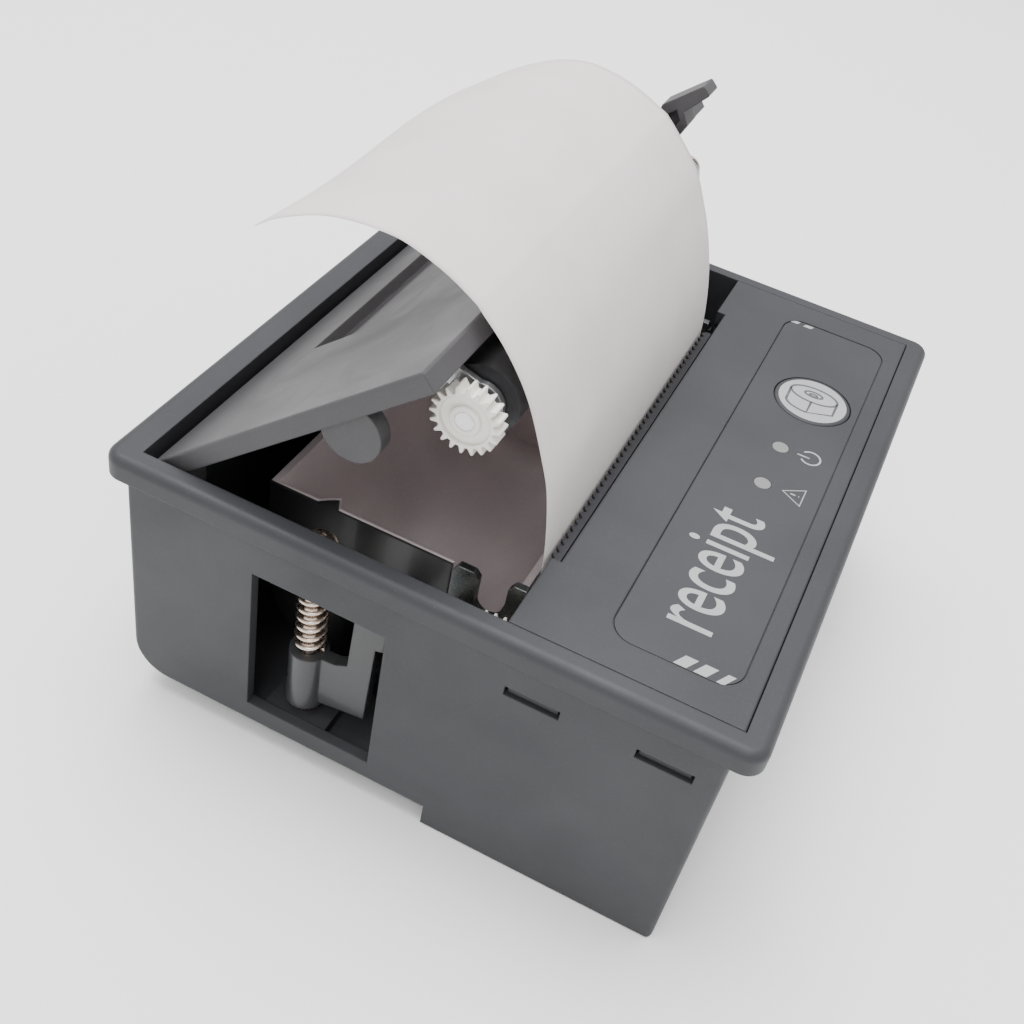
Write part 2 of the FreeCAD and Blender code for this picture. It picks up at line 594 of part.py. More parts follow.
def make_mechanism():
    make_side_plate("near", "near_plate - plate_thick", "near_plate")
    make_side_plate("far", "far_plate", "far_plate + plate_thick")
    screws = [screw(f"mechanism_screw_{y}", Vector(18, y, -26.2), 1, (1.8, 1.1), (0.8, 2.3)) for y in (-38.4, 38.4)]
    node("mechanism_screws", group("mechanism_screws", screws))
    back = box("pressure_plate_sheet", (16.0, 16.8), ("near_plate", "far_plate"), (-11, -0.6))
    lip = box("pressure_plate_lip", (16.0, 19.5), ("near_plate", "far_plate"), (-11.8, -11))
    seats = [rod(f"spring_seat_{y}", "x", (y, -4), (14.9, 16.1), 0.9) for y in (-18, 13)]
    node("pressure_plate", fuse("pressure_plate", back, lip, *seats))
    node("head_pivot_pin", rod("head_pivot_pin", "y", ("head_pivot_x", "head_pivot_z"),
                               ("near_plate - plate_thick - 0.4", "far_plate + plate_thick + 0.4"), "pin_radius"))
    springs = []
    for y in (-18, 13):
        coil = helix(1.5, 0.25, 2.7, 3)
        springs.append(feature(f"head_spring_{y}", coil, Placement(Vector(12.9, y, -4), TURN_TO["x"])))
    node("head_springs", group("head_springs", springs))
    node("print_head", box("print_head", ("head_face", "head_face + 0.65"), (-31, 26), (-10.6, -1.2)))
    bar = box("heatsink_bar", ("head_face + 0.65", "head_face + 2.65"), (-31.9, 27.2), ("head_pivot_z", -0.6))
    barrel = rod("heatsink_barrel", "y", ("head_pivot_x", "head_pivot_z"), (-31.9, 27.2), 1.85)
    bore = rod("heatsink_bore", "y", ("head_pivot_x", "head_pivot_z"), (-50, 50), "pin_radius + running_gap")
    node("head_heatsink", cut("head_heatsink", fuse("heatsink_solid", bar, barrel), bore))
    face = evaluate("near_plate")
    motor = rod("motor_can", "y", ("motor_x", "motor_z"), ("near_plate", "near_plate + motor_length"), "motor_radius")
    boss = rod("motor_boss", "y", ("motor_x", "motor_z"), ("near_plate - plate_thick", "near_plate + 0.1"), 2.1)
    shaft_hole = rod("motor_bore", "y", ("motor_x", "motor_z"), (-50, "near_plate + 6"), 0.8)
    node("stepper_motor", cut("stepper_motor", fuse("motor_solid", motor, boss), shaft_hole))
    screws = []
    for x in (-4.0, 4.0):
        piece = screw(f"motor_screw_{x}", Vector(), 1, (1.4, 0.7), (0.9, 1.0))
        piece.Placement = Placement(Vector(size("motor_x") + x, face - size("plate_thick"), size("motor_z")),
                                    Rotation(Vector(1, 0, 0), 90))
        screws.append(piece)
    node("motor_screws", group("motor_screws", screws))


def make_gears():
    """Pinion, compound reduction wheel and its stud; the small wheel meets the platen gear when the lid shuts."""
    drive, plane = size("drive_plane"), size("gear_plane")
    reduction = (size("reduction_x"), size("reduction_z"))
    motor = (size("motor_x"), size("motor_z"))
    platen = (size("platen_x"), size("platen_z"))
    to_motor = math.atan2(motor[1] - reduction[1], motor[0] - reduction[0])
    to_platen = math.atan2(platen[1] - reduction[1], platen[0] - reduction[0])
    wheel = gear(44, reduction, drive, drive + 1.7, size("pin_radius") + size("running_gap"), to_motor)
    small = gear(16, reduction, drive + 1.6, plane + 1.9, size("pin_radius") + size("running_gap"), to_platen)
    node("reduction_gear", feature("reduction_gear", wheel.fuse(small).removeSplitter()))
    pinion = gear(12, motor, drive - 0.2, drive + 1.7, 0.75, to_motor + math.pi + math.pi / 12)
    node("motor_pinion", feature("motor_pinion", pinion))
    node("motor_shaft", rod("motor_shaft", "y", ("motor_x", "motor_z"), ("drive_plane - 0.2", "near_plate + 5"), 0.75))
    stud = rod("gear_stud_pin", "y", ("reduction_x", "reduction_z"), ("drive_plane - 0.4", "near_plate"), "pin_radius")
    head = rod("gear_stud_head", "y", ("reduction_x", "reduction_z"), ("drive_plane - 0.9", "drive_plane - 0.3"), 1.8)
    node("gear_stud", fuse("gear_stud", stud, head))
    node("platen_gear", feature("platen_gear", platen_gear_shape(platen, plane, to_platen)), on_lid=True)


def platen_gear_shape(platen, plane, to_platen):
    """Twenty-tooth wheel with a shallow hub; a gap faces the small reduction wheel."""
    wheel = gear(20, platen, plane, plane + 2.0, size("shaft_radius"), to_platen + math.pi + math.pi / 20)
    dish = Part.makeCylinder(2.9, 0.35, Vector(platen[0], plane, platen[1]), Vector(0, 1, 0))
    hub = Part.makeCylinder(1.75, 0.4, Vector(platen[0], plane, platen[1]), Vector(0, 1, 0))
    return wheel.cut(dish.cut(hub)).removeSplitter()


# ---------------------------------------------------------------- paper bucket

def make_bucket():
    ends = ("bucket_near - bucket_end_wall", "bucket_far + bucket_end_wall")
    shell = fuse("bucket_outer",
                 rod("bucket_round", "y", ("trough_x", "trough_z"), ends, "trough_radius + bucket_wall"),
                 box("bucket_upper", ("trough_x - trough_radius - bucket_wall", "trough_x + trough_radius + bucket_wall"),
                     ends, ("trough_z", "bucket_rim")),
                 box("bucket_rest", (-13, -6), (-20, 14), ("body_base + wall", "trough_z - trough_radius")))
    hollow = fuse("bucket_inner",
                  rod("bucket_trough", "y", ("trough_x", "trough_z"), ("bucket_near", "bucket_far"), "trough_radius"),
                  box("bucket_throat", ("trough_x - trough_radius", "trough_x + trough_radius"),
                      ("bucket_near", "bucket_far"), ("trough_z", 4)))
    clear_top = box("bucket_lap", (-16, 2.0), (-60, 60), ("bucket_rim", 6))
    clear_right = box("bucket_step", (-0.6, 12), (-60, 60), (-10.2, 6))
    node("paper_bucket", cut("paper_bucket", shell, hollow, clear_right, clear_top))
    node("paper_sensor", box("paper_sensor", (6.6, 9.0), (-6, -1.5), (-14.2, -11)))


# ---------------------------------------------------------------- lid

def make_lid():
    plate = box("lid_plate", ("hinge_x", "lid_end"), ("-lid_half_width", "lid_half_width"), ("lid_under", "lid_top"))
    top, hinge = size("lid_top"), size("hinge_x")
    plate = round_edges("lid_plate_round", plate, 0.35,
                        lambda edge: near_to(edge.BoundBox.ZMin, top) and edge.BoundBox.XMax > hinge + 1)
    barrel = rod("lid_barrel", "y", ("hinge_x", "hinge_z"), ("-lid_half_width", "lid_half_width"), "hinge_round")
    lugs = []
    for side, span in ((-1, (-41.2, -39.2)), (1, (39.2, 41.2))):
        lugs.append(common(f"lid_lug_{side + 1}", rod(f"lid_lug_disc_{side + 1}", "y", (-4.9, -0.9), span, 3.6),
                           box(f"lid_lug_half_{side + 1}", (-12, 4), (-50, 50), (-8, "lid_under + 0.3"))))
    solid = fuse("lid_solid", plate, barrel, *lugs)
    pocket_low, pocket_high = "lid_under - 4", "lid_top - lid_skin"
    pockets = [box("lid_pocket_rear", ("hinge_x - 4", -26), (-38.6, 38.6), (-4, pocket_high)),
               box("lid_pocket_near", (-26.1, "lid_end - 1.5"), ("-lid_half_width + 1.5", -20.5), (0, pocket_high)),
               box("lid_pocket_far", (-26.1, "lid_end - 1.5"), (20.5, "lid_half_width - 1.5"), (0, pocket_high)),
               box("lid_pocket_front", (-8, "lid_end - 1.5"), (-20.6, 20.6), (0, pocket_high)),
               rod("lid_spring_room", "y", ("hinge_x", "hinge_z"), (31.5, 38.6), 2.15),
               box("lever_slot", (-0.7, "lid_end + 1"), (27.3, 32.0), (-5, 5))]
    for side, span in ((-1, ("-lid_half_width - 1", -38.5)), (1, (38.5, "lid_half_width + 1"))):
        pockets.append(rod(f"lid_pin_hole_{side + 1}", "y", ("hinge_x", "hinge_z"), span, "pin_radius + running_gap"))
    scoop = profile("lid_scoop", [(-24.5, 1.5), (-9, "lid_top"), (-9, "lid_top + 2"), (-24.5, "lid_top + 2")], -19, 19)
    node("lid_panel", cut("lid_panel", solid, *pockets, scoop), on_lid=True)


def make_lid_frame():
    """Platen carrier screwed under the lid: a web with a cheek at each end and two ears for the release lever."""
    web = box("carrier_web", (-8, 4.4), (-32.7, 32.6), (0.2, "lid_top - lid_skin"))
    cheeks = []
    for name, span in (("near", (-32.7, -31.9)), ("far", (31.8, 32.6))):
        cheeks.append(profile(f"carrier_cheek_{name}",
                              [(-0.3, 0.3), ("platen_x - 2.4", "platen_z + 0.5"), ("platen_x + 2.4", "platen_z + 0.5"),
                               ("platen_x - 0.6", 0.3)], *span))
        cheeks.append(rod(f"carrier_eye_{name}", "y", ("platen_x", "platen_z"), span, 2.6))
    ears = [box("lever_ear", (-0.6, 2.5), (26.5, 27.25), (-0.7, 1.2))]
    holes = [rod("carrier_bores", "y", ("platen_x", "platen_z"), (-60, 60), "bush_radius"),
             rod("lever_pin_bore", "y", (1.2, 0.4), (20, 60), 0.75),
             box("carrier_lever_gap", (-2, 6), (27.3, 31.75), (-2, 5)),
             rod("carrier_screw_a", "z", (-6, -29), (-1, 4), 1.0), rod("carrier_screw_b", "z", (-6, 24), (-1, 4), 1.0)]
    node("platen_carrier", cut("platen_carrier", fuse("carrier_solid", web, *cheeks, *ears), *holes), on_lid=True)
    screws = [screw(f"carrier_screw_{y}", Vector(-6, y, 0.2), -1, (1.7, 0.9), (1.0, 1.1)) for y in (-29, 24)]
    node("carrier_screws", group("carrier_screws", screws), on_lid=True)


def make_platen():
    centre = ("platen_x", "platen_z")
    node("platen_shaft", rod("platen_shaft", "y", centre, ("gear_plane", 34.7), "shaft_radius"), on_lid=True)
    rubber = cut("platen_roller", rod("rubber_outer", "y", centre, ("platen_near", "platen_far"), "platen_radius"),
                 rod("rubber_bore", "y", centre, (-50, 50), "shaft_radius"))
    node("platen_roller", rubber, on_lid=True)
    bushes = [cut(f"bush_{name}", rod(f"bush_outer_{name}", "y", centre, span, "bush_radius"),
                  rod(f"bush_bore_{name}", "y", centre, (-50, 50), "shaft_radius + running_gap"))
              for name, span in (("near", (-34.2, -31.9)), ("far", (31.8, 34.1)))]
    node("platen_bushes", group("platen_bushes", bushes), on_lid=True)
    clip = cut("platen_clip", rod("clip_outer", "y", centre, (34.2, 34.6), 2.0),
               rod("clip_bore", "y", centre, (30, 40), "shaft_radius"))
    node("platen_clip", clip, on_lid=True)


def make_lever():
    """Pull-up lever at the lid's free end, far side."""
    arm = profile("lever_arm", [(1.2, -0.9), (7.6, 0.2), (10.6, 1.6), (11.0, 3.45), (15.2, 4.0), (15.0, 5.5),
                                (8.6, 5.5), (5.0, 2.6), (1.2, 1.9)], 28.0, 31.5)
    boss = rod("lever_boss", "y", (1.2, 0.4), (29.4, 31.5), 1.45)
    hollow = profile("lever_hollow", [(8.2, 1.8), (10.0, 2.6), (10.2, 4.1), (8.8, 4.1), (7.4, 3.0)], 27, 29.2)
    room = rod("lever_spring_room", "y", (1.2, 0.4), (27, 29.4), 1.9)
    bore = rod("lever_bore", "y", (1.2, 0.4), (20, 40), "0.75 + running_gap")
    solid = cut("lever_cut", fuse("lever_solid", cut("lever_arm_cut", arm, room), boss), hollow, bore)
    node("release_lever", round_edges("release_lever", solid, 0.3,
                                      lambda edge: runs_along(edge, 1) and edge.Vertexes[0].X > 14.5), on_lid=True)
    node("lever_pin", rod("lever_pin", "y", (1.2, 0.4), (26.6, 32.4), 0.75), on_lid=True)
    coil = feature("lever_spring", helix(1.2, 0.2, 1.3, 2.5), Placement(Vector(1.2, 27.6, 0.4), TURN_TO["y"]))
    node("lever_spring", coil, on_lid=True)


def make_hinge():
    pins = [rod("hinge_pin_near", "y", ("hinge_x", "hinge_z"), ("-body_half_width + 0.4", -38.8), "pin_radius"),
            rod("hinge_pin_far", "y", ("hinge_x", "hinge_z"), (31.6, "body_half_width - 0.4"), "pin_radius")]
    node("hinge_pins", group("hinge_pins", pins))
    coil = helix(1.5, 0.22, 5.2, 7)
    node("lid_spring", feature("lid_spring", coil,
                               Placement(Vector(size("hinge_x"), 32.6, size("hinge_z")), TURN_TO["y"])))


# ---------------------------------------------------------------- panel clamps

def make_clamp(side):
    """Swing-out clamp: a long screw, a spring, a threaded bush and a dog that swings through the window."""
    far = side == "far"
    centre = ("clamp_x", "clamp_y")
    pieces = {}
    shelf = size("clamp_shelf")
    pieces["screw"] = screw(f"{side}_screw_raw", Vector(size("clamp_x"), size("clamp_y"), shelf), 1, (2.3, 1.6),
                            (size("clamp_screw_radius"), 28.6))
    length = shelf - 3.5 - size("clamp_barrel_top")
    foot = Vector(size("clamp_x"), size("clamp_y"), size("clamp_barrel_top") + 0.3)
    pieces["spring"] = feature(f"{side}_spring_raw", helix(1.75, 0.27, length - 0.6, 8), Placement(foot, Rotation()))
    tube = rod(f"{side}_bush_outer", "z", centre, (-26.5, -21), 1.85)
    pieces["bush"] = cut(f"{side}_bush_raw", tube, rod(f"{side}_bush_bore", "z", centre, (-40, 0),
                                                       "clamp_screw_radius + 0.04"))
    barrel = rod(f"{side}_dog_barrel", "z", centre, ("clamp_barrel_base", "clamp_barrel_top"), "clamp_barrel")
    wing = profile(f"{side}_dog_wing", [("clamp_x", -27.6), (-5.6, -26.2), (-5.2, -13.0), (-4.2, -12.7), (-4.0, -9.7),
                                        (-8.3, -9.7), (-8.6, -18.0), (-10.3, -18.9), ("clamp_x", -19.2)],
                   "clamp_y - 1.0", "clamp_y + 0.8")
    bores = [rod(f"{side}_dog_bore", "z", centre, (-40, 0), "clamp_screw_radius + running_gap"),
             rod(f"{side}_dog_room", "z", centre, (-26.55, -20.95), "1.85 + running_gap")]
    pieces["dog"] = cut(f"{side}_dog_raw", fuse(f"{side}_dog_solid", barrel, wing), *bores)
    for kind, piece in pieces.items():
        node(f"{side}_clamp_{kind}", mirror(f"{side}_clamp_{kind}", piece) if far else piece)


# ---------------------------------------------------------------- paper

def make_paper():
    """Printed strip: straight up past the head, out through the slot and over the open lid in one long curl."""
    start = Vector(9.67, 0, -13.0)
    bend = Vector(9.67, 0, 0.5)
    curl = [bend, Vector(9.4, 0, 4.5), Vector(8.1, 0, 11.4), Vector(5.7, 0, 18.7), Vector(2.0, 0, 25.0),
            Vector(-3.6, 0, 29.9), Vector(-11.9, 0, 33.7), Vector(-19.0, 0, 35.0), Vector(-25.6, 0, 32.9),
            Vector(-29.2, 0, 30.4)]
    middle = Part.BSplineCurve()
    middle.interpolate(curl, InitialTangent=Vector(0, 0, 8), FinalTangent=Vector(-4.0, 0, -3.2))
    half = size("paper_thick") / 2
    sides = []
    for sign in (-1, 1):
        points = []
        for place in curl:
            across = middle.tangent(middle.parameter(place))[0].cross(Vector(0, 1, 0)).normalize()
            points.append(place + across * half * sign)
        edge = Part.BSplineCurve()
        edge.interpolate(points, InitialTangent=Vector(0, 0, 8), FinalTangent=Vector(-4.0, 0, -3.2))
        sides.append((points, edge))
    (left, left_curve), (right, right_curve) = sides
    low_left = Vector(left[0].x, 0, start.z)
    low_right = Vector(right[0].x, 0, start.z)
    outline = Part.Wire([Part.LineSegment(low_left, left[0]).toShape(), left_curve.toShape(),
                         Part.LineSegment(left[-1], right[-1]).toShape(), right_curve.toShape(),
                         Part.LineSegment(right[0], low_right).toShape(),
                         Part.LineSegment(low_right, low_left).toShape()])
    strip = Part.Face(outline).extrude(Vector(0, size("paper_width"), 0))
    strip.translate(Vector(0, size("paper_near"), 0))
    node("paper_strip", feature("paper_strip", strip))


# ---------------------------------------------------------------- build, check and write

make_housing()
make_bottom_cover()
make_control_cover()
make_label()
make_feed_button()
make_lamps()
make_key_board()
make_tear_bar()
make_electronics()
make_mechanism()
make_gears()
make_bucket()
make_lid()
make_lid_frame()
make_platen()
make_lever()
make_hinge()
make_clamp("near")
make_clamp("far")
make_paper()
doc.recompute()

for thing in doc.Objects:
    if "Invalid" in thing.State or "Error" in thing.State:
        raise RuntimeError(f"{thing.Name} failed: {thing.State}")

os.makedirs("parts", exist_ok=True)
for piece in NODES:
    if piece.Shape.isNull() or not piece.Shape.isValid():
        raise RuntimeError(f"{piece.Label} is not a valid shape")
    piece.Shape.exportStep(f"parts/{piece.Label}.step")
print(len(NODES), "nodes written")
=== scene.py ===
"""Looks of a panel-mount receipt printer: finishes, the paper strip, the printed label and the stage."""

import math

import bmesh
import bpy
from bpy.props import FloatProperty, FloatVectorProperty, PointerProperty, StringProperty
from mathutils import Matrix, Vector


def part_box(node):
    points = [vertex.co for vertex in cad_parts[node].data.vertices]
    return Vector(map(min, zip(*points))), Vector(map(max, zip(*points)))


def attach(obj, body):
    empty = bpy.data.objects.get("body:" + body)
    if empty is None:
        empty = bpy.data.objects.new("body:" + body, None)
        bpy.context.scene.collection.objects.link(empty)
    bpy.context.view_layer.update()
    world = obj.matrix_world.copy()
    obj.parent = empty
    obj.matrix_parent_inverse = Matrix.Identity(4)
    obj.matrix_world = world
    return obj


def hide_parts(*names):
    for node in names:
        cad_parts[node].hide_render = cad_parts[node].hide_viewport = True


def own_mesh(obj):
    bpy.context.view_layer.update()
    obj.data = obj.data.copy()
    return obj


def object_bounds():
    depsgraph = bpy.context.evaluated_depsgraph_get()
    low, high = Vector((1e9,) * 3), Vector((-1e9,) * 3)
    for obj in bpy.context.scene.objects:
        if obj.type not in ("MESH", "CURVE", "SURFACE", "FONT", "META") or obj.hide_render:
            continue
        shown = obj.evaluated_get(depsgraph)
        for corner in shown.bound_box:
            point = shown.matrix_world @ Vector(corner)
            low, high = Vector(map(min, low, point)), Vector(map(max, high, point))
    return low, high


bl_info = {
    "name": "Receipt Printer Looks",
    "version": (1, 0, 0),
    "blender": (4, 5, 0),
    "location": "View3D > Sidebar > Printer",
    "description": "Finishes, paper, label print and stage for the panel-mount receipt printer",
    "category": "Object",
}

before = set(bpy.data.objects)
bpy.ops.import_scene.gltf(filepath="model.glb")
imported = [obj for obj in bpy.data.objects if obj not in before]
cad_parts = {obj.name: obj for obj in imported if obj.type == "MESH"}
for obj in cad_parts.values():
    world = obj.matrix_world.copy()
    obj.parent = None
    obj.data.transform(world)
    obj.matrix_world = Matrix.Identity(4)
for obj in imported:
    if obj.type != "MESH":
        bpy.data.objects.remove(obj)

MM = 0.001
CAD_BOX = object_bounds()
LABEL_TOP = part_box("label_overlay")[1].z
BUTTON_LOW, BUTTON_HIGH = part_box("feed_button")
BUCKET_LOW, BUCKET_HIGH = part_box("paper_bucket")
BUCKET_SHADE_INSET = 0.0003  # how far inside the bucket's ends the painted shadow on its outer faces begins

WIRE = 0.27 * MM  # radius of a clamp spring's wire
TURNS = 8
STEPS_A_TURN = 32

INK_GAP = 0.000002  # under every film of ink, so that no faces coincide
LETTER_WEIGHT = 0.004  # of a text size of one, as the next two are
LETTER_DEPTH = 0.01
SMALL_LETTER = 0.50
LABEL_LINE = 0.30  # widths of the drawn lines, in millimetres
FEED_LINE = 0.34
FEED_DISC = 4.78 * MM  # radius
STRIPE_LEAN = 0.55

FLOOR_GAP = 0.0002  # below the lowest point, so that no faces coincide
KEY_PLACE, KEY_WIDTH = (-0.12, 0.10, 0.80), 0.7
FILL_PLACE, FILL_WIDTH, FILL_SHARE = (0.02, -0.50, 0.62), 0.25, 0.12
SENSOR_WIDTH = 36.0
NEAREST_VIEW = 0.005
CAMERA_PLACE = (0.03382, -0.13003, 0.09968)
CAMERA_RIGHT = (0.8933, 0.4179, 0.1654)
CAMERA_UP = (-0.3967, 0.5599, 0.7274)
CAMERA_BACK = (0.2114, -0.7154, 0.6660)


# ---------------------------------------------------------------- settings

class PrinterColours(bpy.types.PropertyGroup):
    case: FloatVectorProperty(name="Housing", description="Charcoal plastic of the housing and its covers",
                              subtype="COLOR", size=3, min=0, max=1, default=(0.036, 0.037, 0.041))
    lid: FloatVectorProperty(name="Lid", description="Charcoal plastic of the paper lid and its lever",
                             subtype="COLOR", size=3, min=0, max=1, default=(0.056, 0.054, 0.057))
    # The bucket's pale mauve colour is painted light: it is lighter than the bucket's plastic and stands in
    # for the light and the paper's reflection in the shaded cavity.
    bucket: FloatVectorProperty(name="Bucket", description="Pale grey plastic of the paper bucket",
                                subtype="COLOR", size=3, min=0, max=1, default=(0.70, 0.615, 0.622))
    clamp: FloatVectorProperty(name="Clamp", description="Glossy black plastic of the panel clamps",
                               subtype="COLOR", size=3, min=0, max=1, default=(0.040, 0.041, 0.043))
    gear: FloatVectorProperty(name="Gear", description="Natural nylon of the gears",
                              subtype="COLOR", size=3, min=0, max=1, default=(0.83, 0.79, 0.73))
    paper: FloatVectorProperty(name="Paper", description="Thermal paper",
                               subtype="COLOR", size=3, min=0, max=1, default=(0.90, 0.86, 0.85))
    ink: FloatVectorProperty(name="Label ink", description="Light grey ink printed on the label",
                             subtype="COLOR", size=3, min=0, max=1, default=(0.33, 0.33, 0.345))
    lamp: FloatVectorProperty(name="Lamp", description="Unlit indicator lamp",
                              subtype="COLOR", size=3, min=0, max=1, default=(0.19, 0.185, 0.19))


class PrinterPaper(bpy.types.PropertyGroup):
    near_y: FloatProperty(name="Near edge", description="Place of the strip's near edge across the printer",
                          subtype="DISTANCE", unit="LENGTH", default=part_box("paper_strip")[0].y)
    width: FloatProperty(name="Width", description="Width of the strip", subtype="DISTANCE", unit="LENGTH",
                         default=0.0575, min=0.01)
    thickness: FloatProperty(name="Thickness", description="Thickness of the paper", subtype="DISTANCE",
                             unit="LENGTH", default=0.00008, min=0.00001)
    crease: FloatProperty(name="Crease", description="Height of the faint crease over the end of the lid",
                          subtype="DISTANCE", unit="LENGTH", default=0.00022)
    crown: FloatProperty(name="Crown", description="How far the middle of the strip bulges between its edges",
                         subtype="DISTANCE", unit="LENGTH", default=0.0005)


class PrinterPrint(bpy.types.PropertyGroup):
    word: StringProperty(name="Word", description="Plain word printed along the label", default="receipt")
    word_start: FloatProperty(name="Word start", description="Where the word begins along the label",
                              subtype="DISTANCE", unit="LENGTH", default=-0.0317)
    word_length: FloatProperty(name="Word length", description="Length of the word along the label",
                               subtype="DISTANCE", unit="LENGTH", default=0.0219, min=0.001)
    word_base: FloatProperty(name="Word base", description="Place of the letters' base line across the label",
                             subtype="DISTANCE", unit="LENGTH", default=0.0298)
    letter_height: FloatProperty(name="Letter height", description="Height of the small letters",
                                 subtype="DISTANCE", unit="LENGTH", default=0.0058, min=0.0005)
    ink_height: FloatProperty(name="Ink height", description="How far the ink stands on its surface",
                              subtype="DISTANCE", unit="LENGTH", default=0.000012, min=0.000001)


class PrinterStage(bpy.types.PropertyGroup):
    floor_size: FloatProperty(name="Floor size", description="Width of the pale floor", subtype="DISTANCE",
                              unit="LENGTH", default=4.0, min=0.5)
    sky: FloatProperty(name="Sky", description="Strength of the even studio light", default=0.95, min=0)
    key: FloatProperty(name="Key", description="Power of the large soft lamp overhead", subtype="POWER",
                       unit="POWER", default=14.0, min=0)
    lens: FloatProperty(name="Lens", description="Focal length of the camera in millimetres",
                        default=43.94, min=5)


# ---------------------------------------------------------------- node helpers

def put(tree, kind, sockets=None, **settings):
    """New shader node; sockets maps an input to a value or to another node's output."""
    node = tree.nodes.new(kind)
    for name, value in settings.items():
        setattr(node, name, value)
    for name, value in (sockets or {}).items():
        if isinstance(value, bpy.types.NodeSocket):
            tree.links.new(value, node.inputs[name])
        else:
            node.inputs[name].default_value = value
    return node


def shader_group(name, inputs, outputs):
    """Empty node group with its named sockets; returns the tree and its two end nodes."""
    tree = bpy.data.node_groups.new(name, "ShaderNodeTree")
    for label, kind, value in inputs:
        socket = tree.interface.new_socket(name=label, in_out="INPUT", socket_type=kind)
        if value is not None:
            socket.default_value = value
    for label, kind in outputs:
        tree.interface.new_socket(name=label, in_out="OUTPUT", socket_type=kind)
    return tree, tree.nodes.new("NodeGroupInput"), tree.nodes.new("NodeGroupOutput")


def math_node(tree, operation, first, second=0.5):
    return put(tree, "ShaderNodeMath", {0: first, 1: second}, operation=operation).outputs[0]


def remap(tree, value, low, high, to_low=0.0, to_high=1.0):
    return put(tree, "ShaderNodeMapRange", {"Value": value, "From Min": low, "From Max": high,
                                            "To Min": to_low, "To Max": to_high}).outputs["Result"]


def mix_colour(tree, factor, first, second):
    node = put(tree, "ShaderNodeMix", data_type="RGBA")
    for socket, value in ((node.inputs[0], factor), (node.inputs[6], first), (node.inputs[7], second)):
        if isinstance(value, bpy.types.NodeSocket):
            tree.links.new(value, socket)
        else:
            socket.default_value = value
    return node.outputs[2]


def use_group(tree, name, sockets):
    """A shared effect, placed with its own values; PRINTER_OT_effects has made it before."""
    if name not in bpy.data.node_groups:
        raise RuntimeError(f"the effect {name} is made before the finishes")
    return put(tree, "ShaderNodeGroup", sockets, node_tree=bpy.data.node_groups[name])


def opaque(colour):
    return (*colour, 1.0)


def shade(colour, factor):
    return tuple(min(1.0, part * factor) for part in colour)


def tint(tree, base, mask, amount, colour):
    """Colour laid over the base where a mask is bright."""
    return mix_colour(tree, math_node(tree, "MULTIPLY", mask, amount), base, opaque(colour))


def add_bump(tree, shader, height, strength, depth, over=None):
    """Fine relief on the shader's normal, laid over another normal where one is given."""
    sockets = {"Height": height, "Strength": strength, "Distance": depth}
    if over is not None:
        sockets["Normal"] = over
    normal = put(tree, "ShaderNodeBump", sockets).outputs["Normal"]
    tree.links.new(normal, shader.inputs["Normal"])
    return normal


# ---------------------------------------------------------------- shared effects

def make_moulded_grain():
    """Fine spark-eroded texture of a mould, with broad cloudy variation over it."""
    tree, start, end = shader_group(
        "Moulded Grain",
        [("Vector", "NodeSocketVector", None), ("Grain Size", "NodeSocketFloat", 0.0003),
         ("Cloud Size", "NodeSocketFloat", 0.02)],
        [("Height", "NodeSocketFloat"), ("Cloud", "NodeSocketFloat"), ("Speckle", "NodeSocketFloat")])
    fine = math_node(tree, "DIVIDE", 1.0, start.outputs["Grain Size"])
    broad = math_node(tree, "DIVIDE", 1.0, start.outputs["Cloud Size"])
    place = start.outputs["Vector"]
    grain = put(tree, "ShaderNodeTexNoise", {"Vector": place, "Scale": fine, "Detail": 2.0, "Roughness": 0.6})
    cloud = put(tree, "ShaderNodeTexNoise", {"Vector": place, "Scale": broad, "Detail": 3.0})
    tree.links.new(grain.outputs["Fac"], end.inputs["Height"])
    tree.links.new(remap(tree, cloud.outputs["Fac"], 0.35, 0.65), end.inputs["Cloud"])
    tree.links.new(remap(tree, grain.outputs["Fac"], 0.52, 0.75), end.inputs["Speckle"])


def make_edge_wear_and_highlight():
    """Rounded normal at sharp edges, and a mask of the edges: handling wear on plastic, a painted highlight
    on metal.
    """
    tree, start, end = shader_group(
        "Edge Wear And Highlight",
        [("Vector", "NodeSocketVector", None), ("Radius", "NodeSocketFloat", 0.0003)],
        [("Mask", "NodeSocketFloat"), ("Soft Normal", "NodeSocketVector")])
    bevel = put(tree, "ShaderNodeBevel", {"Radius": start.outputs["Radius"]}, samples=4)
    facing = put(tree, "ShaderNodeNewGeometry")
    dot = put(tree, "ShaderNodeVectorMath", {0: bevel.outputs["Normal"], 1: facing.outputs["Normal"]},
              operation="DOT_PRODUCT")
    edge = remap(tree, dot.outputs["Value"], 0.995, 0.80)
    patch = put(tree, "ShaderNodeTexNoise", {"Vector": start.outputs["Vector"], "Scale": 420.0,
                                             "Detail": 4.0})
    wear_and_highlight = math_node(tree, "MULTIPLY", edge, remap(tree, patch.outputs["Fac"], 0.38, 0.62, 0.25, 1.0))
    tree.links.new(wear_and_highlight, end.inputs["Mask"])
    tree.links.new(bevel.outputs["Normal"], end.inputs["Soft Normal"])


def make_handling():
    """Faint smears and dust specks left by use."""
    tree, start, end = shader_group(
        "Handling",
        [("Vector", "NodeSocketVector", None), ("Smear Size", "NodeSocketFloat", 0.012)],
        [("Smear", "NodeSocketFloat"), ("Dust", "NodeSocketFloat")])
    size = math_node(tree, "DIVIDE", 1.0, start.outputs["Smear Size"])
    smear = put(tree, "ShaderNodeTexNoise", {"Vector": start.outputs["Vector"], "Scale": size, "Detail": 5.0,
                                             "Roughness": 0.62, "Distortion": 0.6})
    speck = put(tree, "ShaderNodeTexVoronoi", {"Vector": start.outputs["Vector"], "Scale": 900.0})
    tree.links.new(remap(tree, smear.outputs["Fac"], 0.36, 0.68), end.inputs["Smear"])
    tree.links.new(remap(tree, speck.outputs["Distance"], 0.10, 0.03), end.inputs["Dust"])


